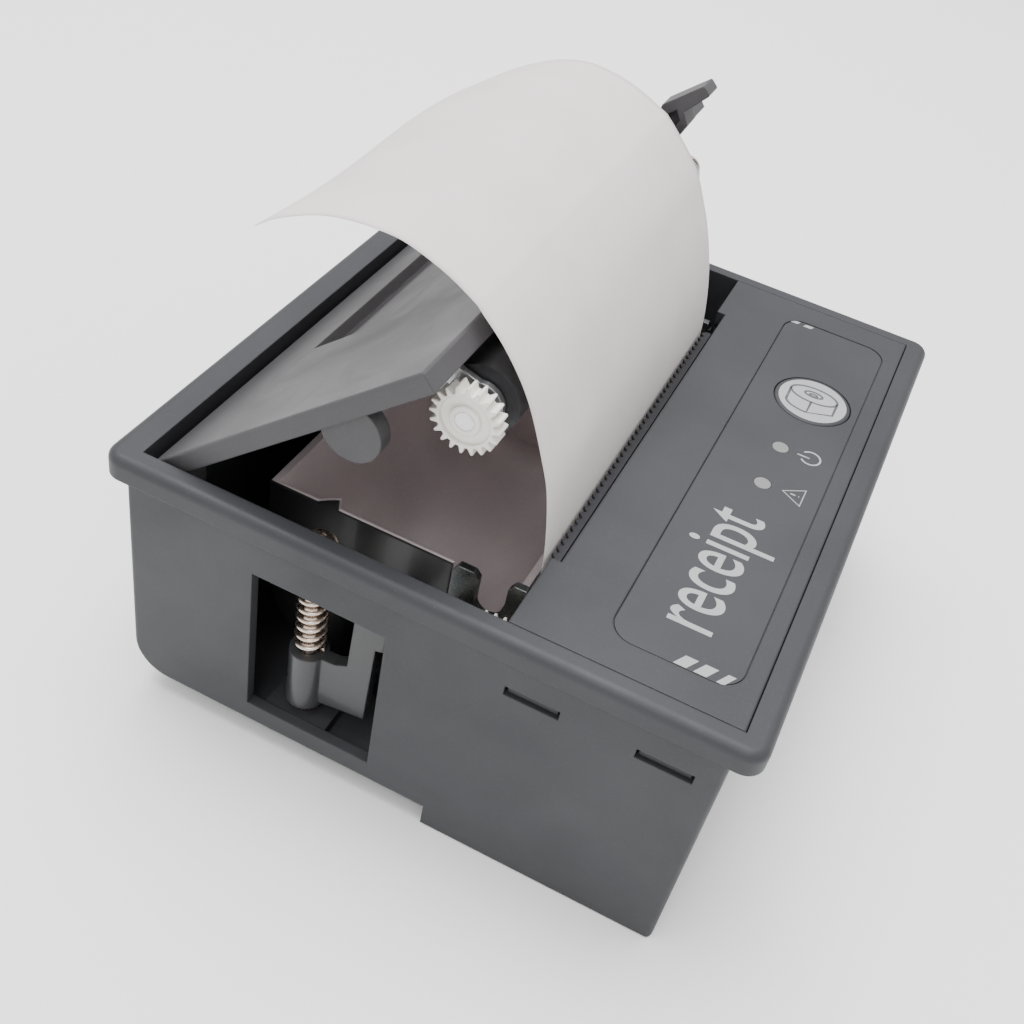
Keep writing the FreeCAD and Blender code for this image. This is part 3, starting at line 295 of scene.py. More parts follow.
def make_drawn_metal():
    """Long fine streaks of rolled or turned metal along the stretched axis."""
    tree, start, end = shader_group(
        "Drawn Metal",
        [("Vector", "NodeSocketVector", None), ("Stretch", "NodeSocketVector", (1.0, 0.04, 1.0)),
         ("Streak Size", "NodeSocketFloat", 0.00025)],
        [("Height", "NodeSocketFloat"), ("Streak", "NodeSocketFloat")])
    along = put(tree, "ShaderNodeVectorMath", {0: start.outputs["Vector"], 1: start.outputs["Stretch"]},
                operation="MULTIPLY")
    size = math_node(tree, "DIVIDE", 1.0, start.outputs["Streak Size"])
    noise = put(tree, "ShaderNodeTexNoise", {"Vector": along.outputs[0], "Scale": size, "Detail": 3.0})
    tree.links.new(noise.outputs["Fac"], end.inputs["Height"])
    tree.links.new(remap(tree, noise.outputs["Fac"], 0.35, 0.65), end.inputs["Streak"])


def make_paper_fibre():
    """Felted surface of paper: fine fibres, a few longer ones and a cloudy formation."""
    tree, start, end = shader_group(
        "Paper Fibre",
        [("Vector", "NodeSocketVector", None)],
        [("Height", "NodeSocketFloat"), ("Formation", "NodeSocketFloat")])
    place = start.outputs["Vector"]
    fine = put(tree, "ShaderNodeTexNoise", {"Vector": place, "Scale": 5200.0, "Detail": 3.0})
    long = put(tree, "ShaderNodeTexNoise", {"Vector": place, "Scale": 900.0, "Detail": 2.0,
                                            "Distortion": 1.5})
    cloud = put(tree, "ShaderNodeTexNoise", {"Vector": place, "Scale": 120.0, "Detail": 2.0})
    half_long = math_node(tree, "MULTIPLY", long.outputs["Fac"], 0.5)
    height = math_node(tree, "ADD", fine.outputs["Fac"], half_long)
    tree.links.new(height, end.inputs["Height"])
    tree.links.new(remap(tree, cloud.outputs["Fac"], 0.38, 0.62), end.inputs["Formation"])


# ---------------------------------------------------------------- materials

def begin(name):
    """New material: its tree, its shader and the object coordinates."""
    material = bpy.data.materials.new(name)
    material.use_nodes = True
    tree = material.node_tree
    place = tree.nodes.new("ShaderNodeTexCoord").outputs["Object"]
    return material, tree, tree.nodes["Principled BSDF"], place


def plastic(name, colour, roughness, grain=0.0003, depth=0.00002, strength=0.5, rub=0.35, radius=0.0003,
            coat=0.0, clouds=0.10, shine=0.28):
    """Moulded plastic: grain in the bump, clouds in the colour, polished edges and smears in the gloss."""
    material, tree, shader, place = begin(name)
    grained = use_group(tree, "Moulded Grain", {"Vector": place, "Grain Size": grain})
    edges = use_group(tree, "Edge Wear And Highlight", {"Vector": place, "Radius": radius})
    used = use_group(tree, "Handling", {"Vector": place})
    base = mix_colour(tree, grained.outputs["Cloud"], opaque(shade(colour, 1 - clouds)),
                      opaque(shade(colour, 1 + clouds)))
    base = tint(tree, base, grained.outputs["Speckle"], 0.25, shade(colour, 1.5))
    base = tint(tree, base, edges.outputs["Mask"], rub, shade(colour, 2.1))
    base = tint(tree, base, used.outputs["Dust"], 0.05, (0.5, 0.49, 0.47))
    tree.links.new(base, shader.inputs["Base Color"])
    gloss = remap(tree, used.outputs["Smear"], 0, 1, roughness - 0.05, roughness + 0.06)
    tree.links.new(gloss, shader.inputs["Roughness"])
    add_bump(tree, shader, grained.outputs["Height"], strength, depth, edges.outputs["Soft Normal"])
    shader.inputs["Specular IOR Level"].default_value = shine
    if coat:
        shader.inputs["Coat Weight"].default_value = coat
        shader.inputs["Coat Roughness"].default_value = 0.12
    return material


def metal(name, colour, roughness, stretch=(1.0, 0.04, 1.0), streak=0.00025, tarnish=0.15, bright=1.4):
    """Rolled, turned or wound metal with streaks, a little tarnish and a painted highlight on its edges."""
    material, tree, shader, place = begin(name)
    drawn = use_group(tree, "Drawn Metal", {"Vector": place, "Stretch": stretch, "Streak Size": streak})
    edges = use_group(tree, "Edge Wear And Highlight", {"Vector": place, "Radius": 0.00015})
    used = use_group(tree, "Handling", {"Vector": place, "Smear Size": 0.004})
    base = tint(tree, opaque(colour), used.outputs["Smear"], tarnish, shade(colour, 0.55))
    # painted highlight: the edges are lightened by the factor bright
    base = tint(tree, base, edges.outputs["Mask"], 0.6, shade(colour, bright))
    tree.links.new(base, shader.inputs["Base Color"])
    tree.links.new(remap(tree, drawn.outputs["Streak"], 0, 1, roughness - 0.05, roughness + 0.10),
                   shader.inputs["Roughness"])
    shader.inputs["Metallic"].default_value = 1.0
    add_bump(tree, shader, drawn.outputs["Height"], 0.25, 0.00001, edges.outputs["Soft Normal"])
    return material


def rubber(name, colour):
    """Ground rubber with fine lines along the roller and paper dust in smears."""
    material, tree, shader, place = begin(name)
    ground = use_group(tree, "Drawn Metal", {"Vector": place, "Stretch": (0.15, 1.0, 0.15),
                                             "Streak Size": 0.0002})
    used = use_group(tree, "Handling", {"Vector": place, "Smear Size": 0.006})
    base = tint(tree, opaque(colour), used.outputs["Smear"], 0.5, shade(colour, 1.9))
    tree.links.new(base, shader.inputs["Base Color"])
    tree.links.new(remap(tree, ground.outputs["Streak"], 0, 1, 0.48, 0.62), shader.inputs["Roughness"])
    add_bump(tree, shader, ground.outputs["Height"], 0.3, 0.00001)
    return material


def nylon(name, colour):
    """Milky gear plastic that lets a little light in."""
    material = plastic(name, colour, 0.42, grain=0.0005, depth=0.00001, strength=0.25, rub=0.0, clouds=0.03)
    shader = material.node_tree.nodes["Principled BSDF"]
    shader.inputs["Subsurface Weight"].default_value = 0.25
    shader.inputs["Subsurface Radius"].default_value = (1.0, 0.9, 0.8)
    shader.inputs["Subsurface Scale"].default_value = 0.0008
    return material


def paint_outer_shade(material, middle, reach):
    """Paint shade on a finish: black beyond a reach to both sides of a middle in Y, a painted shadow on a
    tray's outer faces.
    """
    tree = material.node_tree
    shader = tree.nodes["Principled BSDF"]
    place = put(tree, "ShaderNodeTexCoord").outputs["Object"]
    across = put(tree, "ShaderNodeSeparateXYZ", {0: place}).outputs["Y"]
    away = math_node(tree, "ABSOLUTE", math_node(tree, "SUBTRACT", across, middle))
    painted_shade_mask = remap(tree, math_node(tree, "DIVIDE", away, reach), 0.998, 1.002)
    inside = shader.inputs["Base Color"].links[0].from_socket
    # painted shadow: the outer faces are coloured black where they lie in shade
    tree.links.new(mix_colour(tree, painted_shade_mask, inside, (0.008, 0.008, 0.009, 1)), shader.inputs["Base Color"])


def paper_stock(name, colour):
    """Thin coated paper that lets some light through."""
    material, tree, shader, place = begin(name)
    fibre = use_group(tree, "Paper Fibre", {"Vector": place})
    used = use_group(tree, "Handling", {"Vector": place, "Smear Size": 0.02})
    base = mix_colour(tree, fibre.outputs["Formation"], opaque(shade(colour, 0.985)),
                      opaque(shade(colour, 1.015)))
    warmer = (colour[0] * 0.93, colour[1] * 0.90, colour[2] * 0.90)
    base = tint(tree, base, used.outputs["Smear"], 0.05, warmer)
    tree.links.new(base, shader.inputs["Base Color"])
    tree.links.new(remap(tree, used.outputs["Smear"], 0, 1, 0.62, 0.74), shader.inputs["Roughness"])
    shader.inputs["Specular IOR Level"].default_value = 0.35
    normal = add_bump(tree, shader, fibre.outputs["Height"], 0.15, 0.00001)
    through = put(tree, "ShaderNodeBsdfTranslucent", {"Color": base, "Normal": normal})
    share_through = 0.36
    both = put(tree, "ShaderNodeMixShader", {0: share_through, 1: shader.outputs[0], 2: through.outputs[0]})
    tree.links.new(both.outputs[0], tree.nodes["Material Output"].inputs["Surface"])
    return material


def circuit_board(name):
    """Solder mask over copper tracks, with a scatter of vias."""
    material, tree, shader, place = begin(name)
    tracks = put(tree, "ShaderNodeTexBrick", {"Vector": place, "Scale": 260.0, "Mortar Size": 0.03,
                                              "Color1": (0.010, 0.085, 0.040, 1),
                                              "Color2": (0.012, 0.070, 0.036, 1),
                                              "Mortar": (0.030, 0.150, 0.070, 1)})
    vias = put(tree, "ShaderNodeTexVoronoi", {"Vector": place, "Scale": 380.0})
    ring = remap(tree, vias.outputs["Distance"], 0.16, 0.12)
    tree.links.new(mix_colour(tree, ring, tracks.outputs["Color"], (0.55, 0.42, 0.16, 1)),
                   shader.inputs["Base Color"])
    tree.links.new(remap(tree, ring, 0, 1, 0.35, 0.25), shader.inputs["Roughness"])
    add_bump(tree, shader, tracks.outputs["Fac"], 0.4, 0.00003)
    return material


def screen_ink(name, colour):
    """Screen-printed ink: nearly flat, slightly uneven at its edges."""
    material, tree, shader, place = begin(name)
    grained = use_group(tree, "Moulded Grain", {"Vector": place, "Grain Size": 0.00025, "Cloud Size": 0.004})
    base = mix_colour(tree, grained.outputs["Cloud"], opaque(shade(colour, 0.95)),
                      opaque(shade(colour, 1.03)))
    tree.links.new(base, shader.inputs["Base Color"])
    tree.links.new(remap(tree, grained.outputs["Height"], 0.3, 0.7, 0.45, 0.6), shader.inputs["Roughness"])
    add_bump(tree, shader, grained.outputs["Height"], 0.25, 0.00001)
    return material


def finish(material, *nodes):
    """Give CAD nodes a finish; their meshes stay as they are."""
    for name in nodes:
        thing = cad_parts[name]
        if not thing.material_slots:
            thing.data.materials.append(material)
        for number in range(len(thing.data.materials)):
            thing.data.materials[number] = material


# ---------------------------------------------------------------- mesh helpers

def mesh_piece(name, shape, material, body):
    """Finished piece from a bmesh, riding on a body."""
    mesh = bpy.data.meshes.new(name)
    shape.to_mesh(mesh)
    shape.free()
    piece = bpy.data.objects.new(name, mesh)
    bpy.context.scene.collection.objects.link(piece)
    mesh.materials.append(material)
    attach(piece, body)
    return piece


def mesh_of(curve):
    """Mesh of a curve or text datablock, which is then removed."""
    thing = bpy.data.objects.new("drawing", curve)
    bpy.context.scene.collection.objects.link(thing)
    bpy.context.view_layer.update()
    mesh = bpy.data.meshes.new_from_object(thing.evaluated_get(bpy.context.evaluated_depsgraph_get()))
    bpy.data.objects.remove(thing)
    return mesh


def printed(shape, height, ink):
    """Flatten drawn lines to a film of ink on a surface at that height."""
    bmesh.ops.remove_doubles(shape, verts=shape.verts, dist=1e-7)
    top = max(corner.co.z for corner in shape.verts)
    low = min(corner.co.z for corner in shape.verts)
    for corner in shape.verts:
        part = (corner.co.z - low) / (top - low) if top > low else 0.0
        corner.co.z = height + INK_GAP + part * ink
    bmesh.ops.recalc_face_normals(shape, faces=shape.faces)
    return shape


def strokes(lines, width):
    """Bmesh of drawn lines. Each line is (points, closed), with its points in flat millimetres."""
    curve = bpy.data.curves.new("strokes", "CURVE")
    curve.dimensions = "3D"
    curve.bevel_depth = width * MM / 2
    curve.bevel_resolution = 1
    for points, closed in lines:
        spline = curve.splines.new("POLY")
        spline.points.add(len(points) - 1)
        for point, (x, y) in zip(spline.points, points):
            point.co = (x * MM, y * MM, 0, 1)
        spline.use_cyclic_u = closed
    curve.use_fill_caps = True
    mesh = mesh_of(curve)
    shape = bmesh.new()
    shape.from_mesh(mesh)
    return shape


def arc(centre, across, upward, first, last, steps=28):
    """Points along an ellipse, from one angle in degrees to another."""
    points = []
    for step in range(steps + 1):
        turn = math.radians(first + (last - first) * step / steps)
        points.append((centre[0] + across * math.cos(turn), centre[1] + upward * math.sin(turn)))
    return points


# ---------------------------------------------------------------- paper

# Where the strip runs at its two edges, in X and Z millimetres, from inside the printer to the free end.
NEAR_RUN = [(9.67, -13.0), (9.67, -6.0), (9.66, 0.5), (9.25, 5.8), (8.15, 12.1), (6.7, 16.4), (3.9, 22.8),
            (0.9, 27.2), (-2.2, 30.3), (-6.3, 33.2), (-11.6, 35.2), (-15.2, 35.5), (-19.0, 35.2),
            (-22.7, 34.2), (-27.0, 32.1), (-29.4, 30.3)]
FAR_RUN = [(9.67, -13.0), (9.67, -6.0), (9.6, 0.5), (9.2, 5.8), (8.0, 12.0), (6.2, 17.6), (4.4, 21.6),
           (2.2, 25.6), (-1.2, 29.2), (-4.2, 31.5), (-8.4, 33.4), (-12.4, 34.3), (-16.0, 34.4),
           (-20.4, 33.2), (-25.4, 30.5), (-29.2, 27.7)]
RUN_SPLITS = 12  # short straight pieces between two points of a run

PAPER_STEPS = 150  # along the strip
PAPER_LANES = 48  # across it
HELD_SHARE = 0.35  # of the strip's length lies flat before it bulges
EASED_SHARE = 0.35  # of the change from one edge to the other starts and ends softly
END_RIPPLE = 0.0006  # one half of the loose end bulges up and the other half down
CREASE_X = -0.0037  # where the strip bends over the end of the lid
CREASE_SPREAD = 3.0  # in steps along the strip


def smooth_run(points, steps):
    """Evenly spaced places on a smooth line through points."""
    line = []
    padded = [points[0]] + points + [points[-1]]
    for before, start, end, after in zip(padded, padded[1:], padded[2:], padded[3:]):
        for step in range(RUN_SPLITS):
            t = step / RUN_SPLITS
            line.append(tuple(0.5 * (2 * b + (c - a) * t + (2 * a - 5 * b + 4 * c - d) * t * t
                                     + (3 * b - a - 3 * c + d) * t ** 3)
                              for a, b, c, d in zip(before, start, end, after)))
    line.append(points[-1])
    travelled = [0.0]
    for one, two in zip(line, line[1:]):
        travelled.append(travelled[-1] + math.dist(one, two))
    places, at = [], 0
    for step in range(steps + 1):
        target = travelled[-1] * step / steps
        while at < len(line) - 2 and travelled[at + 1] < target:
            at += 1
        share = (target - travelled[at]) / (travelled[at + 1] - travelled[at])
        places.append(Vector((line[at][0] + (line[at + 1][0] - line[at][0]) * share, 0,
                              line[at][1] + (line[at + 1][1] - line[at][1]) * share)) * MM)
    return places, travelled[-1] * MM


class PRINTER_OT_paper(bpy.types.Operator):
    """Make the paper strip that curls over the open lid"""
    bl_idname = "printer.paper"
    bl_label = "Paper Strip"

    def execute(self, context):
        sizes = context.scene.printer_paper
        stock = paper_stock("Thermal Paper", context.scene.printer_colours.paper)
        steps = PAPER_STEPS
        near, near_length = smooth_run(NEAR_RUN, steps)
        far, far_length = smooth_run(FAR_RUN, steps)
        over_lid = min(range(steps // 4, steps), key=lambda step: abs(near[step].x - CREASE_X))
        shape = bmesh.new()
        bmesh.ops.create_grid(shape, x_segments=steps, y_segments=PAPER_LANES, size=0.5, calc_uvs=True)
        for corner in shape.verts:
            along, across = corner.co.x + 0.5, corner.co.y + 0.5
            step = min(steps, max(0, round(along * steps)))
            share = across * across * (3 - 2 * across)
            place = near[step].lerp(far[step], EASED_SHARE * share + (1 - EASED_SHARE) * across)
            ahead, behind = near[min(steps, step + 1)], near[max(0, step - 1)]
            outward = (ahead - behind).cross(Vector((0, 1, 0))).normalized() * -1
            free = max(0.0, (along - HELD_SHARE) / (1 - HELD_SHARE))
            lift = sizes.crown * math.sin(math.pi * across) * free
            lift += sizes.crease * math.exp(-abs(step - over_lid) / CREASE_SPREAD)
            lift += END_RIPPLE * math.sin(2 * math.pi * (across - 0.5)) * free ** 3
            corner.co = place + outward * lift + Vector((0, sizes.near_y + sizes.width * across, 0))
        bmesh.ops.recalc_face_normals(shape, faces=shape.faces)
        for face in shape.faces:
            face.smooth = True
        strip = mesh_piece("paper_sheet", shape, stock, "housing")
        thick = strip.modifiers.new("Thickness", "SOLIDIFY")
        thick.thickness = sizes.thickness
        thick.offset = 0.0
        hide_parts("paper_strip")
        return {"FINISHED"}


# ---------------------------------------------------------------- clamp springs

class PRINTER_OT_clamp_springs(bpy.types.Operator):
    """Wind the two clamp springs"""
    bl_idname = "printer.clamp_springs"
    bl_label = "Clamp Springs"

    def execute(self, context):
        for side in ("near", "far"):
            low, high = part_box(f"{side}_clamp_spring")
            middle, height = (low + high) / 2, high.z - low.z
            radius = (high.x - low.x) / 2 - WIRE
            upright = Matrix.Rotation(math.pi / 2, 4, "X")
            start = Matrix.Translation((middle.x + radius, middle.y, low.z + WIRE)) @ upright
            shape = bmesh.new()
            ring = bmesh.ops.create_circle(shape, segments=12, radius=WIRE, matrix=start)
            steps = TURNS * STEPS_A_TURN
            bmesh.ops.spin(shape, geom=ring["verts"] + list(shape.edges), cent=(middle.x, middle.y, 0),
                           axis=(0, 0, 1), dvec=(0, 0, (height - 2 * WIRE) / steps),
                           angle=math.tau * TURNS, steps=steps)
            bmesh.ops.holes_fill(shape, edges=[edge for edge in shape.edges if edge.is_boundary])
            bmesh.ops.recalc_face_normals(shape, faces=shape.faces)
            for face in shape.faces:
                face.smooth = len(face.verts) == 4
            spring = mesh_piece(f"{side}_clamp_coil", shape, bpy.data.materials["Spring Wire"], "housing")
            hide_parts(f"{side}_clamp_spring")
            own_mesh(spring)
        return {"FINISHED"}


# ---------------------------------------------------------------- label

class PRINTER_OT_label_word(bpy.types.Operator):
    """Print the plain word along the label"""
    bl_idname = "printer.label_word"
    bl_label = "Label Word"

    def execute(self, context):
        sizes = context.scene.printer_print
        text = bpy.data.curves.new("word", "FONT")
        text.body = sizes.word
        text.offset = LETTER_WEIGHT
        text.extrude = LETTER_DEPTH
        mesh = mesh_of(text)
        shape = bmesh.new()
        shape.from_mesh(mesh)
        left = min(corner.co.x for corner in shape.verts)
        right = max(corner.co.x for corner in shape.verts)
        for corner in shape.verts:
            along = sizes.word_start + sizes.word_length * (corner.co.x - left) / (right - left)
            across = sizes.word_base - sizes.letter_height * corner.co.y / SMALL_LETTER
            corner.co = (across, along, corner.co.z)
        mesh_piece("label_word", printed(shape, LABEL_TOP, sizes.ink_height), bpy.data.materials["Label Ink"],
                   "housing")
        return {"FINISHED"}


class PRINTER_OT_label_symbols(bpy.types.Operator):
    """Print the power and paper-fault symbols and the stripes at the label's ends"""
    bl_idname = "printer.label_symbols"
    bl_label = "Label Symbols"

    def execute(self, context):
        ink = context.scene.printer_print.ink_height
        power = [(arc((31.4, 6.05), 1.3, 1.35, -145, 145), False), ([(29.6, 5.95), (31.3, 5.95)], False)]
        fault = [([(29.95, -2.55), (32.6, -0.75), (32.6, -4.2)], True),
                 ([(30.95, -2.5), (31.65, -2.5)], False), ([(32.0, -2.5), (32.12, -2.5)], False)]
        symbols = strokes(power + fault, LABEL_LINE)
        mesh_piece("label_symbols", printed(symbols, LABEL_TOP, ink), bpy.data.materials["Label Ink"],
                   "housing")
        shape = bmesh.new()
        leaning = Matrix(((1, STRIPE_LEAN, 0, 0), (0, 1, 0, 0), (0, 0, 1, 0), (0, 0, 0, 1)))
        for x, y, wide, deep in ((28.6, -36.6, 1.5, 1.7), (30.9, -36.6, 1.5, 1.7), (33.2, -36.6, 0.9, 1.7),
                                 (20.9, 36.9, 1.2, 0.7), (23.0, 36.9, 1.2, 0.7)):
            size = Matrix.Diagonal((wide * MM, deep * MM, MM, 1))
            place = Matrix.Translation(Vector((x, y, 0)) * MM) @ leaning @ size
            bmesh.ops.create_cube(shape, size=1.0, matrix=place)
        mesh_piece("label_stripes", printed(shape, LABEL_TOP, ink), bpy.data.materials["Label Ink"],
                   "housing")
        return {"FINISHED"}


class PRINTER_OT_feed_symbol(bpy.types.Operator):
    """Print the light disc and the drawing of a paper roll on the feed button"""
    bl_idname = "printer.feed_symbol"
    bl_label = "Feed Symbol"

    def execute(self, context):
        ink = context.scene.printer_print.ink_height
        middle = (BUTTON_LOW + BUTTON_HIGH) / 2
        disc = bmesh.new()
        place = Matrix.Translation((middle.x, middle.y, 0))
        bmesh.ops.create_cone(disc, cap_ends=True, segments=96, radius1=FEED_DISC, radius2=FEED_DISC,
                              depth=MM, matrix=place)
        mesh_piece("feed_disc", printed(disc, BUTTON_HIGH.z, ink), bpy.data.materials["Label Ink"], "button")
        x, y = middle.x / MM, middle.y / MM
        lines = [(arc((x - 0.1, y + 1.35), 3.35, 1.75, 0, 360, 48)[:-1], True),
                 (arc((x - 0.2, y + 1.5), 1.25, 0.62, 0, 360, 32)[:-1], True),
                 (arc((x - 0.2, y + 1.35), 0.55, 0.26, 0, 360, 20)[:-1], True),
                 ([(x - 3.45, y + 1.3), (x - 3.4, y - 1.5)], False),
                 (arc((x - 0.1, y - 1.5), 3.3, 1.7, 180, 268, 16), False),
                 ([(x + 3.25, y + 1.3), (x + 3.25, y - 1.7), (x - 0.1, y - 3.2), (x - 0.1, y - 0.3)], False)]
        drawing = printed(strokes(lines, FEED_LINE), BUTTON_HIGH.z + ink, ink)
        mesh_piece("feed_drawing", drawing, bpy.data.materials["Drawing Ink"], "button")
        return {"FINISHED"}


# ---------------------------------------------------------------- finishes

class PRINTER_OT_effects(bpy.types.Operator):
    """Build the shared shader effects"""
    bl_idname = "printer.effects"
    bl_label = "Shared Effects"

    def execute(self, context):
        make_moulded_grain()
        make_edge_wear_and_highlight()
        make_handling()
        make_drawn_metal()
        make_paper_fibre()
        return {"FINISHED"}


class PRINTER_OT_case(bpy.types.Operator):
    """Finish the housing, the covers, the label, the button and the lamps"""
    bl_idname = "printer.case"
    bl_label = "Housing Finishes"

    def execute(self, context):
        colours = context.scene.printer_colours
        finish(plastic("Housing Plastic", colours.case, 0.50), "housing_shell", "control_cover",
               "bottom_cover")
        finish(plastic("Label Film", shade(colours.case, 1.06), 0.42, grain=0.0002, depth=0.00001, rub=0.1,
                       radius=0.0001), "label_overlay")
        finish(plastic("Button Plastic", colours.case, 0.45, grain=0.0002), "feed_button")
        finish(plastic("Lamp Lens", colours.lamp, 0.30, depth=0.00001, rub=0.0, coat=0.3), "power_lamp",
               "error_lamp")
        screen_ink("Label Ink", colours.ink)
        screen_ink("Drawing Ink", shade(colours.case, 2.0))
        finish(metal("Black Screw", (0.06, 0.06, 0.065), 0.38, stretch=(1, 1, 0.1)), "bottom_cover_screws")
        return {"FINISHED"}


class PRINTER_OT_lid(bpy.types.Operator):
    """Finish the lid, its carrier, the lever, the platen and the hinge"""
    bl_idname = "printer.lid"
    bl_label = "Lid Finishes"

    def execute(self, context):
        colours = context.scene.printer_colours
        finish(plastic("Lid Plastic", colours.lid, 0.46), "lid_panel", "release_lever")
        finish(metal("Zinc Sheet", (0.56, 0.57, 0.58), 0.34), "platen_carrier")
        # painted highlight: bright=6.0 paints light rims on the edges of the dark steel
        finish(metal("Dark Steel Painted Edge Highlight", (0.13, 0.14, 0.14), 0.30, bright=6.0), "near_side_plate",
               "far_side_plate", "pressure_plate")
        finish(metal("Blackened Steel", (0.045, 0.045, 0.050), 0.42), "tear_bar")
        finish(rubber("Platen Rubber", (0.012, 0.012, 0.014)), "platen_roller")
        finish(nylon("Gear Nylon", colours.gear), "platen_gear", "reduction_gear")
        finish(plastic("Black Acetal", (0.018, 0.018, 0.020), 0.35, grain=0.0002, depth=0.00001),
               "platen_bushes")
        finish(metal("Ground Steel", (0.60, 0.60, 0.60), 0.24), "platen_shaft", "hinge_pins", "lever_pin",
               "head_pivot_pin", "gear_stud", "motor_shaft")
        finish(metal("Spring Wire", (0.72, 0.62, 0.53), 0.26, stretch=(1, 1, 1)), "lid_spring",
               "lever_spring", "head_springs", "near_clamp_spring", "far_clamp_spring", "platen_clip")
        finish(metal("Zinc Screw", (0.58, 0.58, 0.57), 0.32, stretch=(1, 1, 0.1)), "carrier_screws",
               "mechanism_screws", "motor_screws", "key_board_screws", "tear_bar_screws")
        return {"FINISHED"}


class PRINTER_OT_mechanism(bpy.types.Operator):
    """Finish the print mechanism and the paper bucket"""
    bl_idname = "printer.mechanism"
    bl_label = "Mechanism Finishes"

    def execute(self, context):
        colours = context.scene.printer_colours
        # Painted light: the bucket gets a lighter colour than its plastic, standing in for the light in the
        # shaded cavity.
        bucket = plastic("Bucket Plastic Painted Light", colours.bucket, 0.42, grain=0.0004, depth=0.000006, shine=0.5,
                         coat=0.15)
        # painted shadow: the bucket's outer end faces are coloured black
        paint_outer_shade(bucket, (BUCKET_LOW.y + BUCKET_HIGH.y) / 2,
                       (BUCKET_HIGH.y - BUCKET_LOW.y) / 2 - BUCKET_SHADE_INSET)
        finish(bucket, "paper_bucket")
        finish(metal("Motor Can", (0.50, 0.51, 0.52), 0.36), "stepper_motor")
        finish(metal("Turned Brass", (0.68, 0.50, 0.22), 0.28), "motor_pinion", "near_clamp_bush",
               "far_clamp_bush")
        finish(metal("Milled Aluminium", (0.66, 0.67, 0.68), 0.40), "head_heatsink")
        finish(plastic("Head Ceramic", (0.030, 0.024, 0.022), 0.18, grain=0.0002, depth=0.000005, coat=0.5),
               "print_head")
        return {"FINISHED"}


class PRINTER_OT_electronics(bpy.types.Operator):
    """Finish the boards, chips and connectors"""
    bl_idname = "printer.electronics"
    bl_label = "Electronics Finishes"

    def execute(self, context):
        finish(circuit_board("Solder Mask"), "main_board", "key_board")
        finish(plastic("Chip Package", (0.014, 0.014, 0.016), 0.5, grain=0.0001, depth=0.000005),
               "board_components", "feed_switch", "paper_sensor")
        finish(plastic("Connector Nylon", (0.72, 0.70, 0.63), 0.42, depth=0.00001), "power_connector",
               "data_connector", "switch_plunger", "lamp_chips")
        finish(metal("Contact Plating", (0.80, 0.62, 0.26), 0.22), "power_connector_pins",
               "data_connector_pins")
        return {"FINISHED"}


class PRINTER_OT_clamps(bpy.types.Operator):
    """Finish the swing-out panel clamps"""
    bl_idname = "printer.clamps"
    bl_label = "Clamp Finishes"

    def execute(self, context):
        colours = context.scene.printer_colours
        finish(plastic("Clamp Plastic", colours.clamp, 0.32, grain=0.0006, depth=0.000008, coat=0.35,
                       radius=0.0004), "near_clamp_dog", "far_clamp_dog")
        # The screw colour is partly painted light: it is lightened to stand in for the glint of a screw in
        # shade, while its bronze hue is the screw's own.
        finish(metal("Clamp Screw Painted Glint", (0.60, 0.50, 0.43), 0.28, stretch=(1, 1, 0.1)), "near_clamp_screw",
               "far_clamp_screw")
        return {"FINISHED"}


# ---------------------------------------------------------------- stage

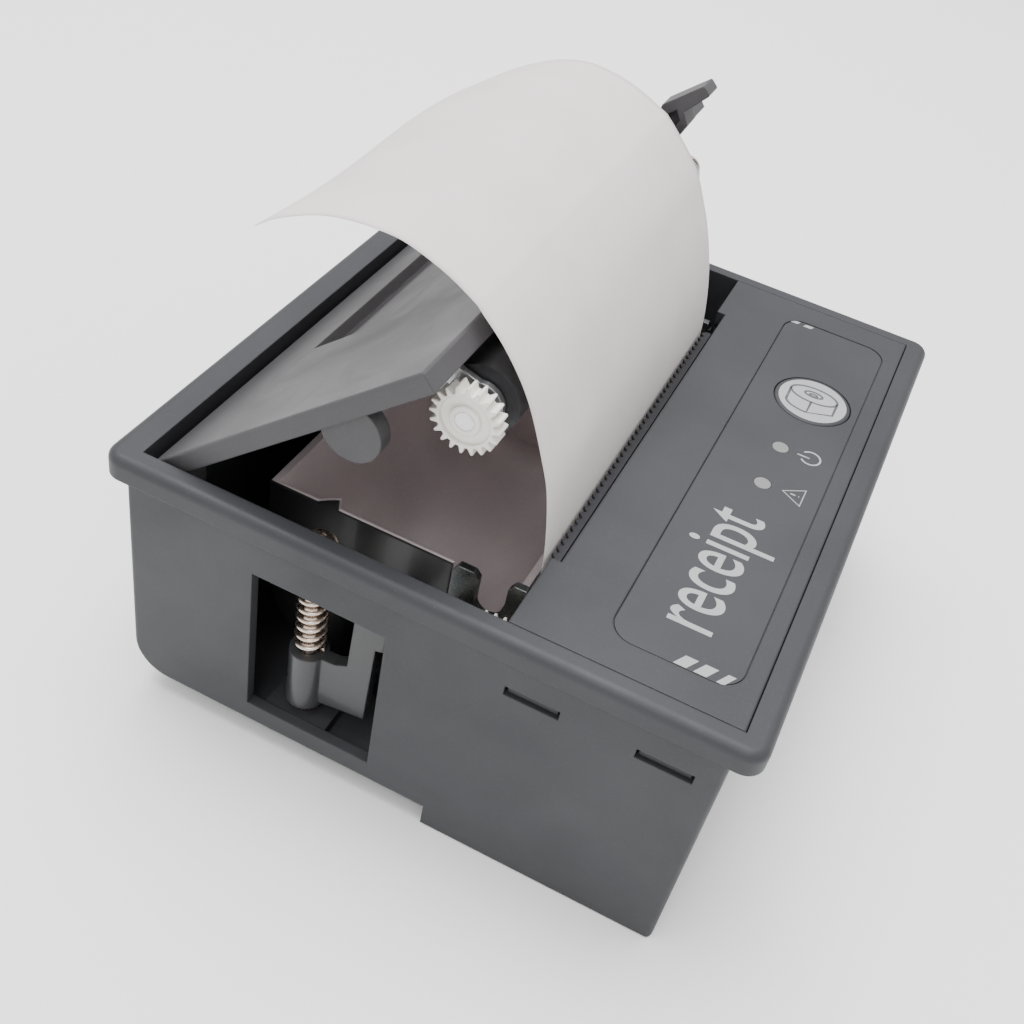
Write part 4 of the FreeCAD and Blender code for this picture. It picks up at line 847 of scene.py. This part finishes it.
class PRINTER_OT_stage(bpy.types.Operator):
    """Set the pale floor, the soft studio light and the camera"""
    bl_idname = "printer.stage"
    bl_label = "Stage"

    def execute(self, context):
        sizes = context.scene.printer_stage
        shape = bmesh.new()
        bmesh.ops.create_grid(shape, x_segments=1, y_segments=1, size=sizes.floor_size / 2,
                              matrix=Matrix.Translation((0, 0, CAD_BOX[0][2] - FLOOR_GAP)))
        mesh = bpy.data.meshes.new("floor")
        shape.to_mesh(mesh)
        shape.free()
        floor = bpy.data.objects.new("floor", mesh)
        context.scene.collection.objects.link(floor)
        pale = bpy.data.materials.new("Pale Floor")
        pale.use_nodes = True
        shader = pale.node_tree.nodes["Principled BSDF"]
        shader.inputs["Base Color"].default_value = (0.93, 0.93, 0.93, 1)
        shader.inputs["Roughness"].default_value = 0.9
        mesh.materials.append(pale)
        world = bpy.data.worlds.new("Studio")
        world.use_nodes = True
        sky = world.node_tree.nodes["Background"]
        sky.inputs["Color"].default_value = (1.0, 1.0, 1.0, 1)
        sky.inputs["Strength"].default_value = sizes.sky
        context.scene.world = world
        for name, place, power, width in (("key", KEY_PLACE, sizes.key, KEY_WIDTH),
                                          ("fill", FILL_PLACE, sizes.key * FILL_SHARE, FILL_WIDTH)):
            lamp = bpy.data.lights.new(name, "AREA")
            lamp.energy = power
            lamp.size = width
            light = bpy.data.objects.new(name, lamp)
            light.location = place
            light.rotation_euler = (-Vector(place)).to_track_quat("-Z", "Y").to_euler()
            context.scene.collection.objects.link(light)
        lens = bpy.data.cameras.new("camera")
        lens.lens = sizes.lens
        lens.sensor_width = SENSOR_WIDTH
        lens.clip_start = NEAREST_VIEW
        camera = bpy.data.objects.new("camera", lens)
        turn = Matrix((CAMERA_RIGHT, CAMERA_UP, CAMERA_BACK)).transposed().to_4x4()
        camera.matrix_world = Matrix.Translation(CAMERA_PLACE) @ turn
        context.scene.collection.objects.link(camera)
        context.scene.camera = camera
        return {"FINISHED"}


class PRINTER_PT_looks(bpy.types.Panel):
    """The printer's sizes and colours, and a button for each operator"""
    bl_label = "Receipt Printer"
    bl_idname = "PRINTER_PT_looks"
    bl_space_type = "VIEW_3D"
    bl_region_type = "UI"
    bl_category = "Printer"

    def draw(self, context):
        for settings in ("printer_colours", "printer_paper", "printer_print", "printer_stage"):
            group = getattr(context.scene, settings)
            box = self.layout.box()
            for name in group.__annotations__:
                box.prop(group, name)
        for piece in PIECES:
            self.layout.operator(piece.bl_idname)


PIECES = (PRINTER_OT_effects, PRINTER_OT_case, PRINTER_OT_lid, PRINTER_OT_mechanism, PRINTER_OT_electronics,
          PRINTER_OT_clamps, PRINTER_OT_clamp_springs, PRINTER_OT_paper, PRINTER_OT_label_word,
          PRINTER_OT_label_symbols, PRINTER_OT_feed_symbol, PRINTER_OT_stage)
CLASSES = (PrinterColours, PrinterPaper, PrinterPrint, PrinterStage, *PIECES, PRINTER_PT_looks)


def register():
    for kind in CLASSES:
        bpy.utils.register_class(kind)
    bpy.types.Scene.printer_colours = PointerProperty(type=PrinterColours)
    bpy.types.Scene.printer_paper = PointerProperty(type=PrinterPaper)
    bpy.types.Scene.printer_print = PointerProperty(type=PrinterPrint)
    bpy.types.Scene.printer_stage = PointerProperty(type=PrinterStage)


def unregister():
    for name in ("printer_colours", "printer_paper", "printer_print", "printer_stage"):
        delattr(bpy.types.Scene, name)
    for kind in reversed(CLASSES):
        bpy.utils.unregister_class(kind)


def main():
    register()
    for piece in PIECES:
        group, name = piece.bl_idname.split(".")
        getattr(getattr(bpy.ops, group), name)()


if __name__ == "__main__":
    main()
